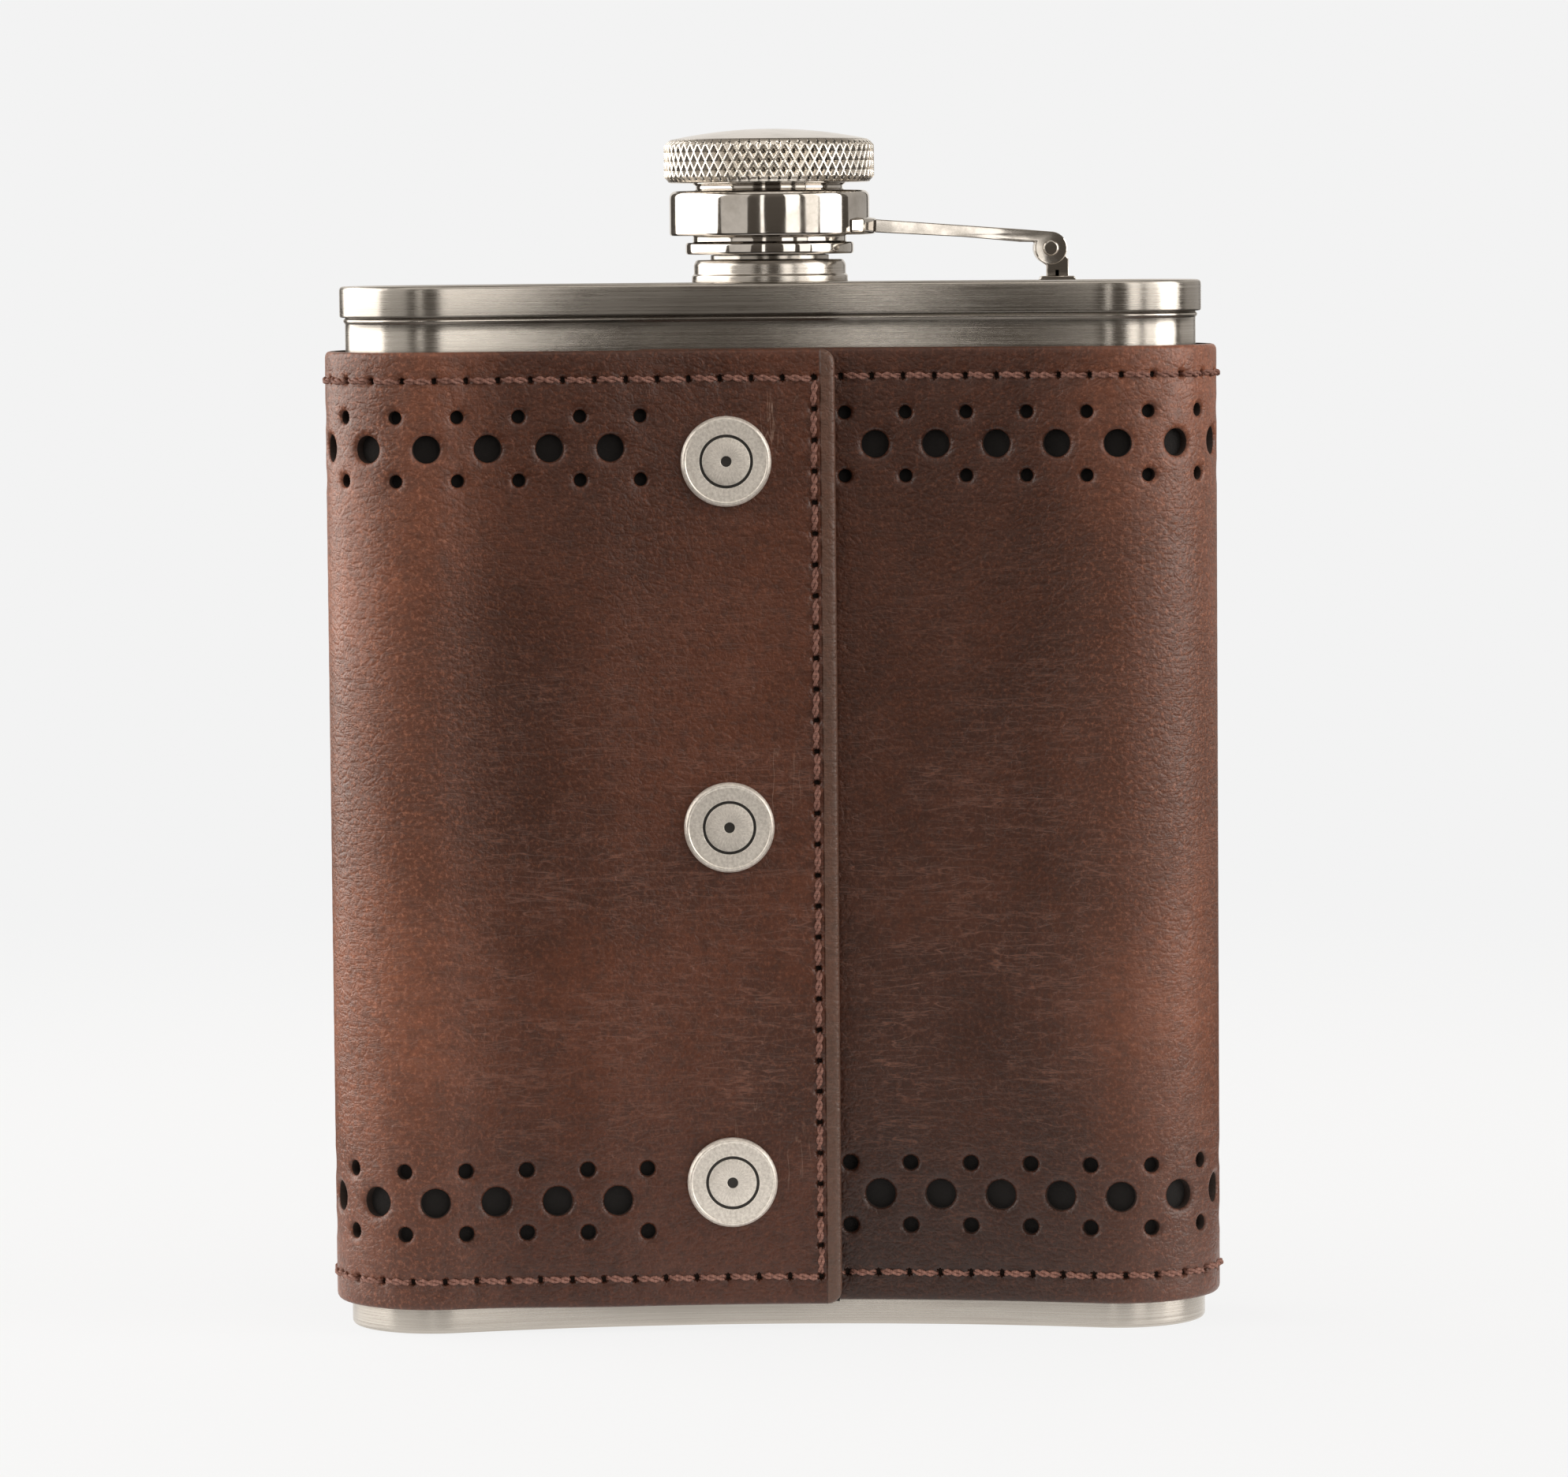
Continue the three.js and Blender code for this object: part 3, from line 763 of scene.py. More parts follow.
LEATHER = [
    leather_material(),
    two_tone("burnished_edge", (30, 240), 4, ((0.030, 0.013, 0.009), (0.060, 0.026, 0.018)), (0.4, 0.55),
             (0.1, 0.5), spread=(0.3, 0.7)),
    two_tone("leather_flesh", (220, 220), 5, ((0.012, 0.007, 0.005), (0.035, 0.018, 0.012)), (0.85, 0.98),
             (0.15, 0.8), gloss_spread=(0.2, 0.8), roughness=0.7),
]
SUEDE = lining_material()
THREAD = thread_material()
STEEL = brushed_steel("brushed_steel", 1.2)
PLATE_STEEL = brushed_steel("plate_steel", 1.0, (4.0, 700), (0.20, 0.33))
SPUN_STEEL = brushed_steel("spun_steel", 1.05, (5.0, 800), (0.16, 0.28))
SNAP_METAL = brushed_steel("snap_metal", 1.62, (240, 260), (0.36, 0.48), 0.0, 0.7)
NICKEL = polished_nickel()
KNURL = two_tone("knurled_nickel", (160, 160), 4, ((0.88, 0.82, 0.74), (0.74, 0.68, 0.60)), (0.2, 0.32),
                 (0.02, 0.5), spread=(0.35, 0.65), metallic=1.0)
RUBBER = two_tone("seal_rubber", (40, 40), 4, ((0.50, 0.49, 0.46), (0.66, 0.65, 0.62)), (0.5, 0.65),
                  (0.05, 0.4))
# Painted shade: a dark finish laid in the knurl's deepest pits and in the snap caps' engraved grooves.
GROOVE_SHADE = two_tone("painted_groove_shade", (120, 120), 3, ((0.02, 0.018, 0.016), (0.06, 0.055, 0.05)), (0.45, 0.6),
               metallic=0.6)


# ---- the steel flask ----
def build_body():
    h, inner = BODY_HALF, BODY_HALF - WALL
    low, high = 0.8, FLASK_HEIGHT - 0.8
    seam = FLASK_HEIGHT - RIM_HEIGHT
    rings = [(inner, low), (h, low), (h, 2.0), (h, seam - 1.6), (h, seam - 0.75), (h + 0.06, seam - 0.62),
             (h + 0.16, seam - 0.5), (h + 0.2, seam - 0.36), (h + 0.14, seam - 0.2), (h, seam - 0.1),
             (h, high), (inner, high), (inner, low)]
    verts, uv, faces = loft(rings)
    body = make("steel_body", verts, faces, [STEEL], uv, sharp=55)
    placed(body, "flask", "satin_steel", "body_shell")


def plate_rings(facing):
    """The pressed end plate's outline from the inside of its skirt to its face."""
    face = FLASK_HEIGHT if facing > 0 else 0.0

    def z(depth):
        return face - facing * depth

    skirt = RIM_HEIGHT
    profile = [(BODY_HALF - 1.2, 0.7), (BODY_HALF + 0.05, 0.7), (BODY_HALF + 0.05, skirt)]
    outer = [(BODY_HALF + 0.05, skirt, 0), (RIM_HALF, skirt, 0.35), (RIM_HALF, 0.0, 0.75),
             (RIM_HALF - 1.1, 0.0, 0.2), (RIM_HALF - 1.5, 0.12, 0.2), (RIM_HALF - 2.2, 0.12, 0)]
    curve = [tuple(p) for p in rounded(outer, 0.3, 5)]
    return [(half, z(depth)) for half, depth in profile[:2] + curve]


def build_plate(facing, name):
    rings = plate_rings(facing)
    samples = OUTLINE_SAMPLES
    verts, uv, faces = loft(rings)
    hole = NECK_BORE + 1.65
    bore = circle(0, 0, hole, 64) if facing > 0 else np.zeros((0, 2))
    for ring, level in ((0, rings[0][1]), (len(rings) - 1, rings[-1][1])):
        outline = np.array(verts[ring * samples:(ring + 1) * samples])[:, :2]
        flat = np.concatenate([outline, bore])
        edges = [(i, (i + 1) % samples) for i in range(samples)]
        edges += [(samples + i, samples + (i + 1) % 64) for i in range(len(bore))]
        _, _, out_f, _, _, _ = delaunay_2d_cdt([Vector(p) for p in flat], edges, [], 1, 1e-7)
        start = len(verts)
        verts.extend((x, y, level) for x, y in bore)
        uv.extend((x, y + 200) for x, y in bore)
        for face in out_f:
            centre = flat[list(face)].mean(0)
            if len(bore) and math.hypot(*centre) < hole * 0.99:
                continue
            faces.append([ring * samples + i if i < samples else start + i - samples for i in face])
        if len(bore):
            if ring == 0:
                first_bore = start
            else:
                faces.extend([first_bore + i, first_bore + (i + 1) % 64, start + (i + 1) % 64, start + i]
                             for i in range(64))
    plate = make(name, verts, faces, [PLATE_STEEL], uv, sharp=40)
    layer = plate.data.uv_layers["flat"]
    for polygon in plate.data.polygons:  # the flat face is brushed straight along x
        if abs(polygon.normal.z) > 0.98:
            for k in polygon.loop_indices:
                co = plate.data.vertices[plate.data.loops[k].vertex_index].co
                layer.data[k].uv = (co.x * 10, co.y * 10)
    placed(plate, "flask", "satin_steel", name)


def build_neck():
    top = FLASK_HEIGHT + 2.5
    base = FLASK_HEIGHT - 1.2
    profile = [(NECK_BORE, base), (NECK_BORE + 1.55, base), (NECK_BORE + 1.55, FLASK_HEIGHT + 0.04)]
    profile += rounded([
        (NECK_BORE + 1.55, FLASK_HEIGHT + 0.04), (NECK_RADIUS, FLASK_HEIGHT + 0.04, 0.1),
        (NECK_RADIUS, FLASK_HEIGHT + 0.75, 0.15), (NECK_RADIUS - 0.22, FLASK_HEIGHT + 0.95, 0.1),
        (NECK_RADIUS - 0.22, top - 0.5, 0.2), (NECK_RADIUS - 0.5, top, 0.2), (6.5, top, 0.1),
        (6.5, CAP_BOTTOM - 0.1, 0.05), (SPIGOT_RADIUS - 0.35, CAP_BOTTOM, 0.05)], 0.1)[1:]
    collar = lathe("neck_collar", profile + [(NECK_BORE, CAP_BOTTOM)], [SPUN_STEEL], 128, closed=True)
    placed(collar, "flask", "satin_steel", "neck")
    build_thread()


def build_thread():
    """The neck's screw thread: one ridge whose height follows the turn."""
    core, columns = SPIGOT_RADIUS - 0.6, 96
    low, high = CAP_BOTTOM, NECK_TOP - 0.35
    turn = np.arange(columns) / columns
    levels = []
    for z in np.arange(low, high, THREAD_PITCH / 12):
        phase = ((z - low) / THREAD_PITCH - turn) % 1.0
        crest = np.clip(1.25 * (1 - np.abs(phase - 0.5) / 0.36), 0, 1)
        fade = np.clip(min((z - low) / 0.8, (high - z) / 0.9), 0, 1)
        levels.append((core + 0.55 * crest * fade, z, core))
    lip = ((core, NECK_TOP - 0.25), (core - 0.2, NECK_TOP), (NECK_BORE + 0.2, NECK_TOP),
           (NECK_BORE, NECK_TOP - 0.2), (NECK_BORE, CAP_BOTTOM - 0.2))
    verts, uv, rows = ring_stack(levels + [(r, z, r) for r, z in lip], columns)
    thread = make("neck_thread", verts, band(rows + [0], columns), [SPUN_STEEL], uv, sharp=60)
    placed(thread, "flask", "satin_steel")


# ---- the captive cap ----
def build_ring():
    low, high = RING_BOTTOM, RING_BOTTOM + RING_HEIGHT
    wall, lip = RING_RADIUS - 1.1, SHANK_RADIUS + 0.4
    profile = rounded([
        (wall, low + 0.5, 0), (wall, low, 0.15), (RING_RADIUS, low, 0.3), (RING_RADIUS, low + 1.0, 0),
        (RING_RADIUS, high, 0.85), (lip, high, 0.25), (lip, high - 1.2, 0.1), (wall, high - 1.2, 0.3),
        (wall, low + 0.5, 0)], 0.2, 6)
    ring = lathe("retaining_ring", profile[:-1], [NICKEL], 160, closed=True, sharp=60)
    placed(ring, "arm", "polished_nickel", "retaining_ring")


def build_insert():
    web = HEAD_BOTTOM + 2.3
    flange = SHANK_RADIUS + 0.8
    bore = CAP_BORE
    profile = [(0, web - 1.6), (bore, web - 1.6)]
    z = web - 2.0
    while z > CAP_BOTTOM + 1.0:  # the cap's inner thread
        profile += [(bore + out, z - down) for out, down in ((0.05, 0), (0.4, 0.35), (0.4, 0.65), (0.05, 1.0))]
        z -= THREAD_PITCH
    profile += [(bore + 0.05, CAP_BOTTOM + 0.3), (bore + 0.3, CAP_BOTTOM)]
    profile += rounded([
        (bore + 0.3, CAP_BOTTOM), (flange, CAP_BOTTOM, 0.3), (flange, FLANGE_TOP, 0.3),
        (SHANK_RADIUS, FLANGE_TOP, 0.15), (SHANK_RADIUS, HEAD_BOTTOM - 0.9, 0.1),
        (SHANK_RADIUS - 0.35, HEAD_BOTTOM - 0.7, 0.1), (SHANK_RADIUS - 0.35, HEAD_BOTTOM - 0.3, 0.1),
        (SHANK_RADIUS, HEAD_BOTTOM - 0.1, 0.1), (SHANK_RADIUS, web, 0), (0, web)], 0.1, 4)[1:]
    insert = lathe("cap_insert", profile, [NICKEL], 144, sharp=50)
    placed(insert, "cap", "polished_nickel", "cap_insert")
    gasket_radius, gasket_low, gasket_high = CAP_BORE - 0.16, NECK_TOP + 0.36, HEAD_BOTTOM + 0.59
    profile = rounded([(0, gasket_low), (gasket_radius, gasket_low, 0.12), (gasket_radius, gasket_high, 0.12),
                       (0, gasket_high)], 0.1)
    gasket = lathe("cap_gasket", profile, [RUBBER], 64)
    placed(gasket, "cap", "gasket", "cap_gasket")


def build_head():
    """The knurled head: a fine grid whose radius follows two crossed families of ridges."""
    diamonds, columns_per = 64, 10
    columns = diamonds * columns_per
    band_low, band_high = HEAD_BOTTOM + 0.3, HEAD_BOTTOM + HEAD_HEIGHT - 0.25
    pitch, levels_per, depth = 2.0, 20, 0.4
    recess, recess_top = SHANK_RADIUS + 0.05, HEAD_BOTTOM + 2.4
    dome_edge, dome_rows, crown = HEAD_RADIUS - 0.75, 15, HEAD_BOTTOM + HEAD_HEIGHT
    levels = [(r, z, HEAD_RADIUS) for r, z in (
        (recess, recess_top), (recess, HEAD_BOTTOM + 0.1), (recess + 0.15, HEAD_BOTTOM),
        (HEAD_RADIUS - 0.75, HEAD_BOTTOM), (HEAD_RADIUS - 0.5, HEAD_BOTTOM + 0.08))]
    first_knurled = len(levels)
    turn = np.arange(columns) / columns_per
    deep = []
    knurl_levels = round((band_high - band_low) / pitch * levels_per)
    for k in range(knurl_levels + 1):
        z = band_low + (band_high - band_low) * k / knurl_levels
        up = (z - band_low) / pitch
        a, b = (np.abs((turn + lean * up) % 1.0 - 0.5) * 2 for lean in (1, -1))
        pit = np.clip((np.minimum(a, b) - 0.22) / 0.6, 0, 1)
        chamfer = max(0.0, 0.35 - (z - band_low)) + max(0.0, 0.45 - (band_high - z)) * 0.9
        levels.append((np.minimum(HEAD_RADIUS - depth * pit, HEAD_RADIUS - chamfer), z, HEAD_RADIUS))
        # The deepest pits take the dark finish as painted shade.
        deep.append(pit > 0.92)
    first_smooth = len(levels)
    levels.append((HEAD_RADIUS - 0.62, crown - 0.12, HEAD_RADIUS))
    for k in range(dome_rows):
        r = dome_edge * (1 - k / dome_rows) ** 0.8
        levels.append((r, crown + DOME_RISE * (1 - (r / dome_edge) ** 2) - 0.02, None))
    verts, uv, rows = ring_stack(levels, columns)
    faces = band(rows, columns)
    which = []
    for k in range(len(rows) - 1):
        knurled = first_knurled - 1 <= k < first_smooth
        for i in range(columns):
            pitted = first_knurled <= k < first_smooth and deep[k - first_knurled][i]
            which.append(2 if pitted else 0 if knurled else 1)
    for start, z in ((rows[0], recess_top), (rows[-1], crown + DOME_RISE - 0.02)):
        verts.append((0, 0, z))
        uv.append((0, z))
        faces.extend([start + i, start + (i + 1) % columns, len(verts) - 1] for i in range(columns))
        which.extend([1] * columns)
    head = make("cap_head", verts, faces, [KNURL, NICKEL, GROOVE_SHADE], uv, which, 24)
    placed(head, "cap", "polished_nickel", "cap_head")


# ---- the hinge ----
def sideways(name, outline, width, holes=()):
    """Extrudes an x, z outline, with its holes, to a width along y."""
    loops = [[tuple(p) for p in loop] for loop in (outline, *holes)]
    points, edges = [], []
    for loop in loops:
        start = len(points)
        points.extend(loop)
        edges.extend((start + i, start + (i + 1) % len(loop)) for i in range(len(loop)))
    kind = 3 if holes else 1
    out_v, _, out_f, _, _, _ = delaunay_2d_cdt([Vector(p) for p in points], edges, [], kind, 1e-6)
    flat = np.array([tuple(v) for v in out_v])
    n = len(flat)
    verts = [(x, y, z) for y in (-width / 2, width / 2) for x, z in flat]
    faces = [list(f) for f in out_f] + [[i + n for i in f][::-1] for f in out_f]
    return make(name, verts, faces + walls(out_f, n), [NICKEL], [(v[0], v[2]) for v in verts])


def cut(obj, tool):
    """Takes one solid out of another."""
    modifier = obj.modifiers.new("cut", "BOOLEAN")
    modifier.object = tool
    modifier.operation = "DIFFERENCE"
    modifier.solver = "EXACT"
    bpy.context.view_layer.update()
    mesh = bpy.data.meshes.new_from_object(obj.evaluated_get(bpy.context.evaluated_depsgraph_get()))
    obj.modifiers.clear()
    obj.data = mesh
    bpy.data.objects.remove(tool)


def soften(obj, radius):
    """Rounds the sharp edges of an extruded piece."""
    b = bmesh.new()
    b.from_mesh(obj.data)
    bmesh.ops.remove_doubles(b, verts=b.verts, dist=0.002 * MM)
    bmesh.ops.dissolve_limit(b, angle_limit=math.radians(1), verts=b.verts, edges=b.edges)
    rim = [e for e in b.edges if len(e.link_faces) == 2 and e.calc_face_angle(0) > math.radians(50)]
    bmesh.ops.bevel(b, geom=rim, offset=radius * MM, segments=3, profile=0.7, affect="EDGES",
                    clamp_overlap=True)
    bmesh.ops.recalc_face_normals(b, faces=b.faces)
    b.to_mesh(obj.data)
    b.free()
    obj.data.shade_smooth()
    obj.data.set_sharp_from_angle(angle=math.radians(40))
    return obj


def arm_outline():
    """The strap from the ring to the hinge, with its end rolled round the pin."""
    start_x, start_z = RING_RADIUS + 0.35, ARM_JOIN_Z
    end_x, end_z = PIN_X, PIN_Z + KNUCKLE_RADIUS - ARM_THICKNESS / 2
    half = ARM_THICKNESS / 2
    top, bottom = [], []
    for k in range(13):
        t = k / 12
        x = start_x + (end_x - start_x) * t
        z = start_z + (end_z - start_z) * t + 0.12 * math.sin(math.pi * t)
        thin = half * (0.9 + 0.1 * abs(2 * t - 1))
        top.append((x, z + thin))
        bottom.append((x, z - thin))
    curl = [(PIN_X + KNUCKLE_RADIUS * math.sin(a), PIN_Z + KNUCKLE_RADIUS * math.cos(a))
            for a in np.linspace(0.15, 1.62 * math.pi, 26)]
    return top + curl + bottom[:-2][::-1]


def build_arm():
    bracket_room = 2.5
    strap = sideways("hinge_arm", arm_outline(), ARM_WIDTH, [circle(PIN_X, PIN_Z, PIN_RADIUS + 0.07, 24)])
    left, right, low, high = PIN_X - 3.2, PIN_X + 4, PIN_Z - 4, PIN_Z + 4
    cut(strap, sideways("room", [(left, low), (right, low), (right, high), (left, high)], bracket_room))
    for vertex in strap.data.vertices:  # the strap is narrow at the ring and wide at the hinge
        along = (vertex.co.x / MM - RING_RADIUS) / (PIN_X + KNUCKLE_RADIUS - RING_RADIUS)
        vertex.co.y *= 0.45 + 0.55 * along
    soften(strap, 0.22)
    saddle_inner = RING_RADIUS + 0.02
    verts, uv = [], []
    section = rounded([(saddle_inner, -0.95, 0), (saddle_inner + 0.75, -0.8, 0.3),
                       (saddle_inner + 0.8, 0.8, 0.3), (saddle_inner, 0.95, 0)], 0.3, 4)
    columns = 40
    for i in range(columns + 1):
        a = math.radians(-36 + 72 * i / columns)
        shrink = min(1.0, 0.2 + 8 * min(i, columns - i) / columns)
        for r, z in section:
            radius = saddle_inner + (r - saddle_inner) * shrink
            height = ARM_JOIN_Z + z * (0.7 + 0.3 * shrink)
            verts.append((radius * math.cos(a), radius * math.sin(a), height))
            uv.append((a * radius, z))
    rows = [i * len(section) for i in range(columns + 1)]
    faces = band(rows, len(section))
    faces += [[row + k for k in range(len(section))] for row in (rows[0], rows[-1])]
    saddle = make("hinge_arm_saddle", verts, faces, [NICKEL], uv, sharp=50)
    placed(strap, "arm", "polished_nickel", "hinge_arm")
    placed(saddle, "arm", "polished_nickel")


def build_bracket():
    foot = FLASK_HEIGHT + 0.05
    width = 2.2
    outline = [(PIN_X + KNUCKLE_RADIUS * math.cos(a), PIN_Z + KNUCKLE_RADIUS * math.sin(a))
               for a in np.linspace(-0.45, 1.28 * math.pi, 30)]
    outline += [(PIN_X - 0.4, PIN_Z - 1.9), (PIN_X - 0.4, foot), (PIN_X + 2.0, foot),
                (PIN_X + 2.0, PIN_Z - 1.2)]
    slot = rounded([(PIN_X + 0.42, foot + 0.2), (PIN_X + 1.08, foot + 0.2), (PIN_X + 1.08, foot + 1.2),
                    (PIN_X + 0.42, foot + 1.2)], 0.0)
    hole = circle(PIN_X, PIN_Z, PIN_RADIUS + 0.05, 24)
    bracket = soften(sideways("hinge_bracket", outline, width, [hole, slot]), 0.14)
    placed(bracket, "flask", "polished_nickel", "hinge_bracket")
    sole = [(PIN_X - 1.2, foot - 0.02), (PIN_X + 2.8, foot - 0.02), (PIN_X + 2.6, foot + 0.4),
            (PIN_X - 1.0, foot + 0.4)]
    pad = soften(sideways("hinge_bracket_foot", sole, width + 1.6), 0.15)
    placed(pad, "flask", "polished_nickel")
    matrix = Matrix.Translation((PIN_X, 0, PIN_Z)) @ Matrix.Rotation(math.pi / 2, 4, "X")
    half = 3.15
    profile = rounded([(0, -half), (PIN_RADIUS * 0.9, -half, 0.3), (PIN_RADIUS, -half + 0.3, 0.1),
                       (PIN_RADIUS, half - 0.3, 0.1), (PIN_RADIUS * 0.9, half, 0.3), (0, half)], 0.2)
    pin = lathe("hinge_pin", profile, [NICKEL], 32, matrix)
    placed(pin, "flask", "polished_nickel", "hinge_pin")


# ---- the wrap ----
SEAM_S = -FRONT_HALF - END_LENGTH - 1.0  # where the flap's piece meets the wrap's, on the back
FLAP_EDGE_S = front_s(FLAP_X)
UNDERLAP_S = front_s(UNDERLAP_X)
SNAP_S = front_s(SNAP_X)
SLEEVE_END_S = SEAM_S + ROUND


def stitch_runs(edge_s, seam_s):
    """Needle points of the bottom row, the top row and the column along the free edge."""
    low, high = WRAP_BOTTOM + STITCH_INSET, WRAP_TOP - STITCH_INSET
    ends = ((edge_s, low), (seam_s, low)), ((edge_s, high), (seam_s, high)), ((edge_s, low), (edge_s, high))
    return [needle_points(start, end) for start, end in ends]


def brogue(start, step, count, low, high):
    """Rows of punched holes with pairs of small pricks between them."""
    first_prick = start - step / 2
    holes = []
    for z, radius, prick_radius in BROGUE_ROWS:
        for k in range(count):
            s = start + step * k
            if low < s < high:
                holes.append((s, z, radius))
            p = first_prick + step * k
            if low < p < high:
                holes.append((p, z + PRICK_OFFSET, prick_radius))
                holes.append((p, z - PRICK_OFFSET, prick_radius))
    return holes


def build_wrap():
    snap_holes = [(SNAP_S, z, SNAP_HOLE_RADIUS) for z in SNAP_HEIGHTS.values()]
    runs = stitch_runs(UNDERLAP_S + EDGE_TO_STITCHES, SLEEVE_END_S - STITCH_PITCH / 2)
    first = front_s(BROGUE_START_X["wrap"])
    holes = brogue(first, BROGUE_PITCH, 40, 5.0, SLEEVE_END_S - SEAM_CLEARANCE) + snap_holes
    sleeve = leather_panel("wrap_leather", (UNDERLAP_S, WRAP_BOTTOM), (SLEEVE_END_S, WRAP_TOP), 1.2, holes,
                           runs, no_lift, open_high=True)
    placed(sleeve, "sleeve", "brown_leather", "wrap_leather")
    thread = stitches("wrap_stitching", runs, no_lift)
    placed(thread, "sleeve", "thread", "wrap_stitching")
    lining = lining_panel("wrap_lining", UNDERLAP_S + 0.3, SLEEVE_END_S, WRAP_BOTTOM + 0.3, WRAP_TOP - 0.3,
                          no_lift)
    placed(lining, "sleeve", "dark_lining", "wrap_lining")

    runs = stitch_runs(FLAP_EDGE_S - EDGE_TO_STITCHES, SEAM_S + STITCH_PITCH / 2)
    first = front_s(BROGUE_START_X["flap"])
    holes = brogue(first, -BROGUE_PITCH, 12, SEAM_S + SEAM_CLEARANCE, 0.0)
    holes += [(s, z + FLAP_DROP, r) for s, z, r in snap_holes]
    flap = leather_panel("flap_leather", (SEAM_S, WRAP_BOTTOM), (FLAP_EDGE_S, WRAP_TOP), 1.6, holes, runs,
                         flap_lift, open_low=True, droop=flap_droop, along=ROUND)
    thread = stitches("flap_stitching", runs, flap_lift, flap_droop)
    lining = lining_panel("flap_lining", SEAM_S, FLAP_EDGE_S - 0.3, WRAP_BOTTOM + 0.1, WRAP_TOP - 0.7,
                          flap_lift)
    fold_x, fold_y, _, _ = plan([-FRONT_HALF, -FRONT_HALF + FOLD_WIDTH], LEATHER_OUTER)
    for obj, slot, node in ((flap, "brown_leather", "flap_leather"), (thread, "thread", "flap_stitching"),
                            (lining, "dark_lining", "flap_lining")):
        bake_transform(obj)
        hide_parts(node)


def snap_frame(half, z):
    """A frame whose z axis points straight out of the front face at the snap line."""
    x, y, nx, ny = plan([SNAP_S], half)
    up, out = Vector((0, 0, 1)), Vector((nx[0], ny[0], 0))
    rotation = Matrix((up.cross(out), up, out)).transposed().to_4x4()
    return Matrix.Translation((x[0], y[0], z)) @ rotation


def build_snap(place, z):
    """A press snap. Its cap carries a plain engraved ring and dot, whose grooves are darkened as painted shade.
    """
    cap_profile = [(0, -1.45), (1.25, -1.45), (1.25, -0.05)]
    cap_profile += rounded([
        (1.25, -0.05), (4.6, -0.05, 0.2), (4.9, 0.2, 0.2), (4.9, 0.5, 0.2), (4.62, 0.85, 0.15),
        (4.45, 0.86, 0.08), (4.36, 0.78, 0.05), (2.92, 0.86, 0.03), (2.87, 0.76, 0.02), (2.61, 0.76, 0.02),
        (2.56, 0.87, 0.03), (0.62, 0.9, 0.03), (0.57, 0.78, 0.02), (0, 0.78)], 0.1, 3)[1:]

    def groove_shading(_, a, b):
        grooved = a[1] < 0.84 and b[1] < 0.84 and a[1] > 0.7 and max(a[0], b[0]) < 2.95
        return 1 if grooved else 0

    def piece(kind, body, profile, segments, half, sharp, groove_shading=None, closed=False):
        name = "snap_" + kind + "_" + place
        metals = [SNAP_METAL, GROOVE_SHADE] if groove_shading else [SNAP_METAL]
        obj = lathe(name, profile, metals, segments, snap_frame(half, z), groove_shading, sharp, closed)
        placed(obj, body, "snap_nickel", name)

    socket = rounded([(2.7, 0, 0), (4.2, 0, 0.2), (4.3, 0.4, 0.1), (4.1, 0.74, 0.2), (3.0, 0.74, 0.2),
                      (2.2, 0.7, 0.15), (2.2, 0.4, 0.1), (2.7, 0.35, 0.05), (2.7, 0, 0)], 0.1, 3)[:-1]
    stud = rounded([(0, 0), (2.4, 0, 0.1), (2.5, 0.15, 0.1), (2.3, 0.26, 0.1), (1.5, 0.27, 0.1),
                    (1.5, 0.42, 0.1), (1.9, 0.6, 0.15), (1.6, 0.9, 0.3), (0, 0.88)], 0.1, 3)
    post = rounded([(0, 0), (3.4, 0, 0.1), (3.4, 0.25, 0.1), (1.3, 0.25, 0.05), (1.3, 1.5, 0.1), (0, 1.5)],
                   0.1, 3)
    piece("cap", "flap", cap_profile, 96, LEATHER_OUTER + FLAP_LIFT + 0.15, 35, groove_shading)
    piece("socket", "flap", socket, 64, LEATHER_OUTER + 0.12, 40, closed=True)
    piece("stud", "sleeve", stud, 64, LEATHER_OUTER + 0.05, 40)
    piece("post", "sleeve", post, 48, LINING_INNER + 0.05, 40)


# ---- studio ----
def seen_or_felt(tree, seen, felt):
    """One shader for what the camera sees, and a dimmer one for what lights and mirrors in the object."""
    path = tree.nodes.new("ShaderNodeLightPath")
    mixer = tree.nodes.new("ShaderNodeMixShader")
    tree.links.new(path.outputs["Is Camera Ray"], mixer.inputs["Fac"])
    tree.links.new(felt, mixer.inputs[1])
    tree.links.new(seen, mixer.inputs[2])
    return mixer.outputs["Shader"]


def build_stage():
    """A round pale table that fades into the pale room."""
    n = Nodes("paper_table")
    place = n.node("ShaderNodeTexCoord").outputs["Object"]
    far = n.node("ShaderNodeVectorMath", {0: place}, operation="LENGTH").outputs["Value"]
    fade = n.ramp(far, 0.16, 0.5)
    fibre = n.noise(place, 900.0, detail=3.0)
    tone = n.mix(fibre, rgb(0.085, 0.085, 0.085), rgb(0.095, 0.095, 0.095))
    glow = n.mix(fade, rgb(*[PAPER_GLOW] * 3), rgb(*[ROOM] * 3))
    n.set(Base_Color=n.mix(fade, tone, rgb(0, 0, 0)), Roughness=1.0, Emission_Color=glow,
          Emission_Strength=1.0, Specular_IOR_Level=0.0)
    # Painted light: for what lights and mirrors in the object, the table glows white within 6 cm of the flask,
    # standing in for a lit white table, and dims further out.
    near = n.mix(n.ramp(far, 0.06, 0.14), rgb(1.0, 0.97, 0.93), rgb(0.05, 0.045, 0.04))
    glow_felt = n.node("ShaderNodeEmission", {"Color": near}).outputs["Emission"]
    surface = seen_or_felt(n.tree, n.shader.outputs["BSDF"], glow_felt)
    n.tree.links.new(surface, n.tree.nodes["Material Output"].inputs["Surface"])
    rim = circle(0, 0, 620, 96)
    verts = [(0, 0, 0)] + [(x, y, 0) for x, y in rim]
    faces = [[0, 1 + i, 1 + (i + 1) % 96] for i in range(96)]
    make("paper_table", verts, faces, [n.material], mend=False)


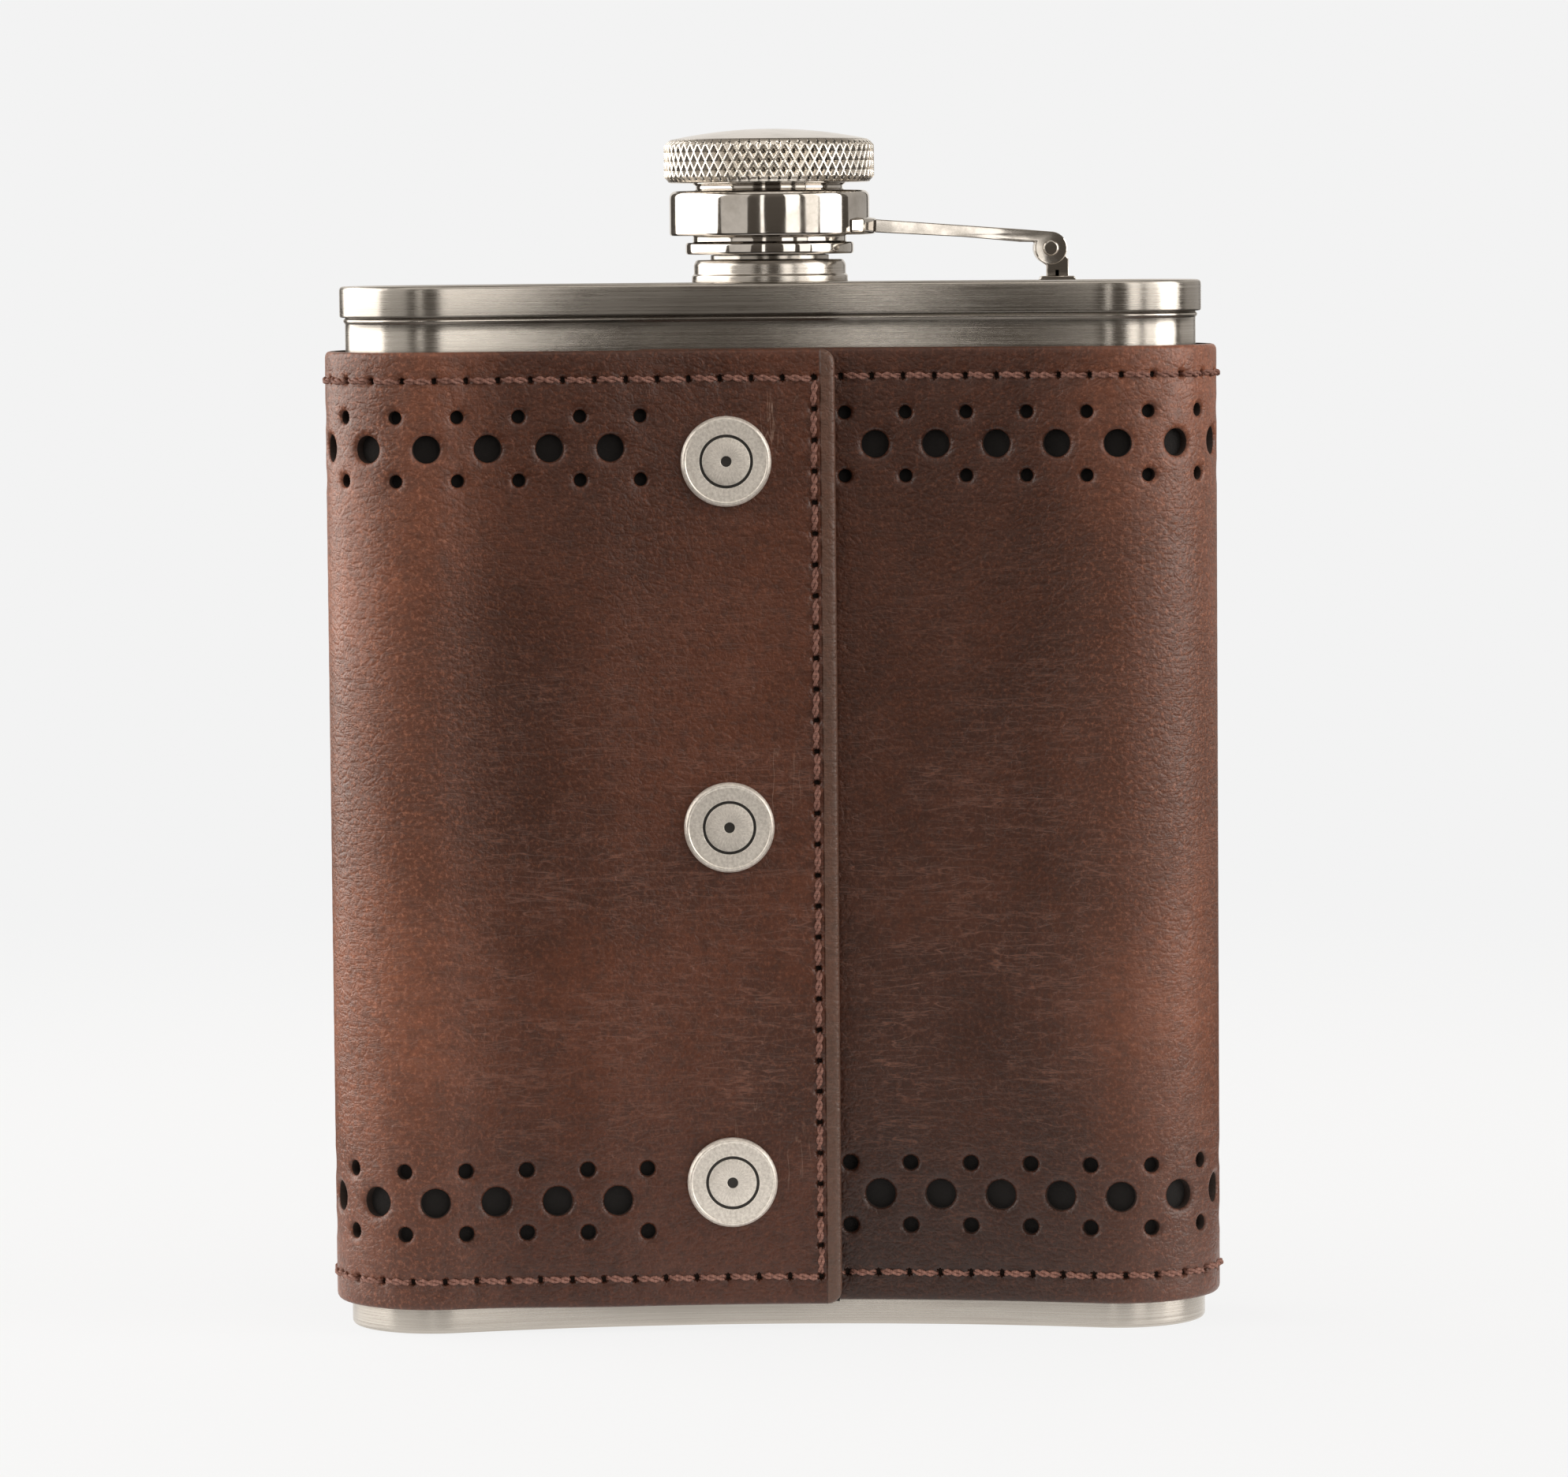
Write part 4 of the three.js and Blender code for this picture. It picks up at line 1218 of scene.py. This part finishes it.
def area_light(name, azimuth, distance, height, size, radiance):
    """A soft box that faces the object, at an angle round from the camera's side towards +X."""
    turn = math.radians(azimuth)
    light = bpy.data.lights.new(name, "AREA")
    light.shape = "RECTANGLE"
    light.size, light.size_y = size
    light.energy = radiance * math.pi * size[0] * size[1]
    light.color = (1.0, 0.965, 0.915)
    obj = bpy.data.objects.new(name, light)
    obj.location = (distance * math.sin(turn), -distance * math.cos(turn), height)
    obj.rotation_euler = (Vector((0, 0, 0.06)) - obj.location).to_track_quat("-Z", "Y").to_euler()
    obj.visible_camera = False
    bpy.context.scene.collection.objects.link(obj)


def build_lights():
    area_light("left_box", -100, 0.8, 0.3, (1.34, 0.9), 3.4)
    area_light("left_front_box", -41, 0.9, 0.3, (0.54, 0.9), 0.62)
    area_light("key_box", 27, 1.0, 0.3, (0.30, 0.9), 2.0)
    area_light("right_box", 50, 0.95, 0.3, (0.28, 0.9), 1.7)
    area_light("right_side_box", 76, 0.95, 0.3, (0.55, 0.9), 4.2)
    area_light("right_rear_box", 128, 0.95, 0.3, (0.9, 0.9), 0.4)
    area_light("strip_box", -8.2, 1.3, 0.3, (0.09, 1.0), 1.9)
    area_light("back_box", 180, 1.0, 0.35, (0.8, 0.9), 0.75)
    area_light("top_box", 0, 0.35, 1.0, (1.0, 0.5), 1.0)
    world = bpy.data.worlds.new("pale_room")
    world.use_nodes = True
    tree = world.node_tree
    felt = tree.nodes["Background"]
    seen = tree.nodes.new("ShaderNodeBackground")
    seen.inputs["Color"].default_value = rgb(*[ROOM] * 3)
    coord = tree.nodes.new("ShaderNodeTexCoord")
    parts = tree.nodes.new("ShaderNodeSeparateXYZ")
    ramp = tree.nodes.new("ShaderNodeValToRGB")
    below, above = ramp.color_ramp.elements
    below.color = rgb(0.09, 0.078, 0.066)
    above.color = rgb(0.26, 0.235, 0.205)
    tree.links.new(coord.outputs["Generated"], parts.inputs["Vector"])
    tree.links.new(parts.outputs["Z"], ramp.inputs["Fac"])
    tree.links.new(ramp.outputs["Color"], felt.inputs["Color"])
    surface = seen_or_felt(tree, seen.outputs["Background"], felt.outputs["Background"])
    tree.links.new(surface, tree.nodes["World Output"].inputs["Surface"])
    bpy.context.scene.world = world


def build_camera():
    camera = bpy.data.cameras.new("camera")
    camera.lens = 154.6
    camera.sensor_width = 36
    camera.clip_start = 0.01
    obj = bpy.data.objects.new("camera", camera)
    eye = Vector((0.0011, -0.740, 0.1195))
    target = Vector((0.0011, -0.005, 0.0640))
    obj.location = eye
    look = (target - eye).to_track_quat("-Z", "Y")
    obj.rotation_euler = (look.to_matrix() @ Matrix.Rotation(math.radians(-0.5), 3, "Z")).to_euler()
    bpy.context.scene.collection.objects.link(obj)
    bpy.context.scene.camera = obj


build_camera()
build_body()
build_plate(1, "top_plate")
build_plate(-1, "bottom_plate")
build_neck()
build_ring()
build_insert()
build_head()
build_arm()
build_bracket()
build_wrap()
for place_name, snap_height in SNAP_HEIGHTS.items():
    build_snap(place_name, snap_height)
build_stage()
build_lights()
bpy.context.scene.view_settings.view_transform = "Standard"
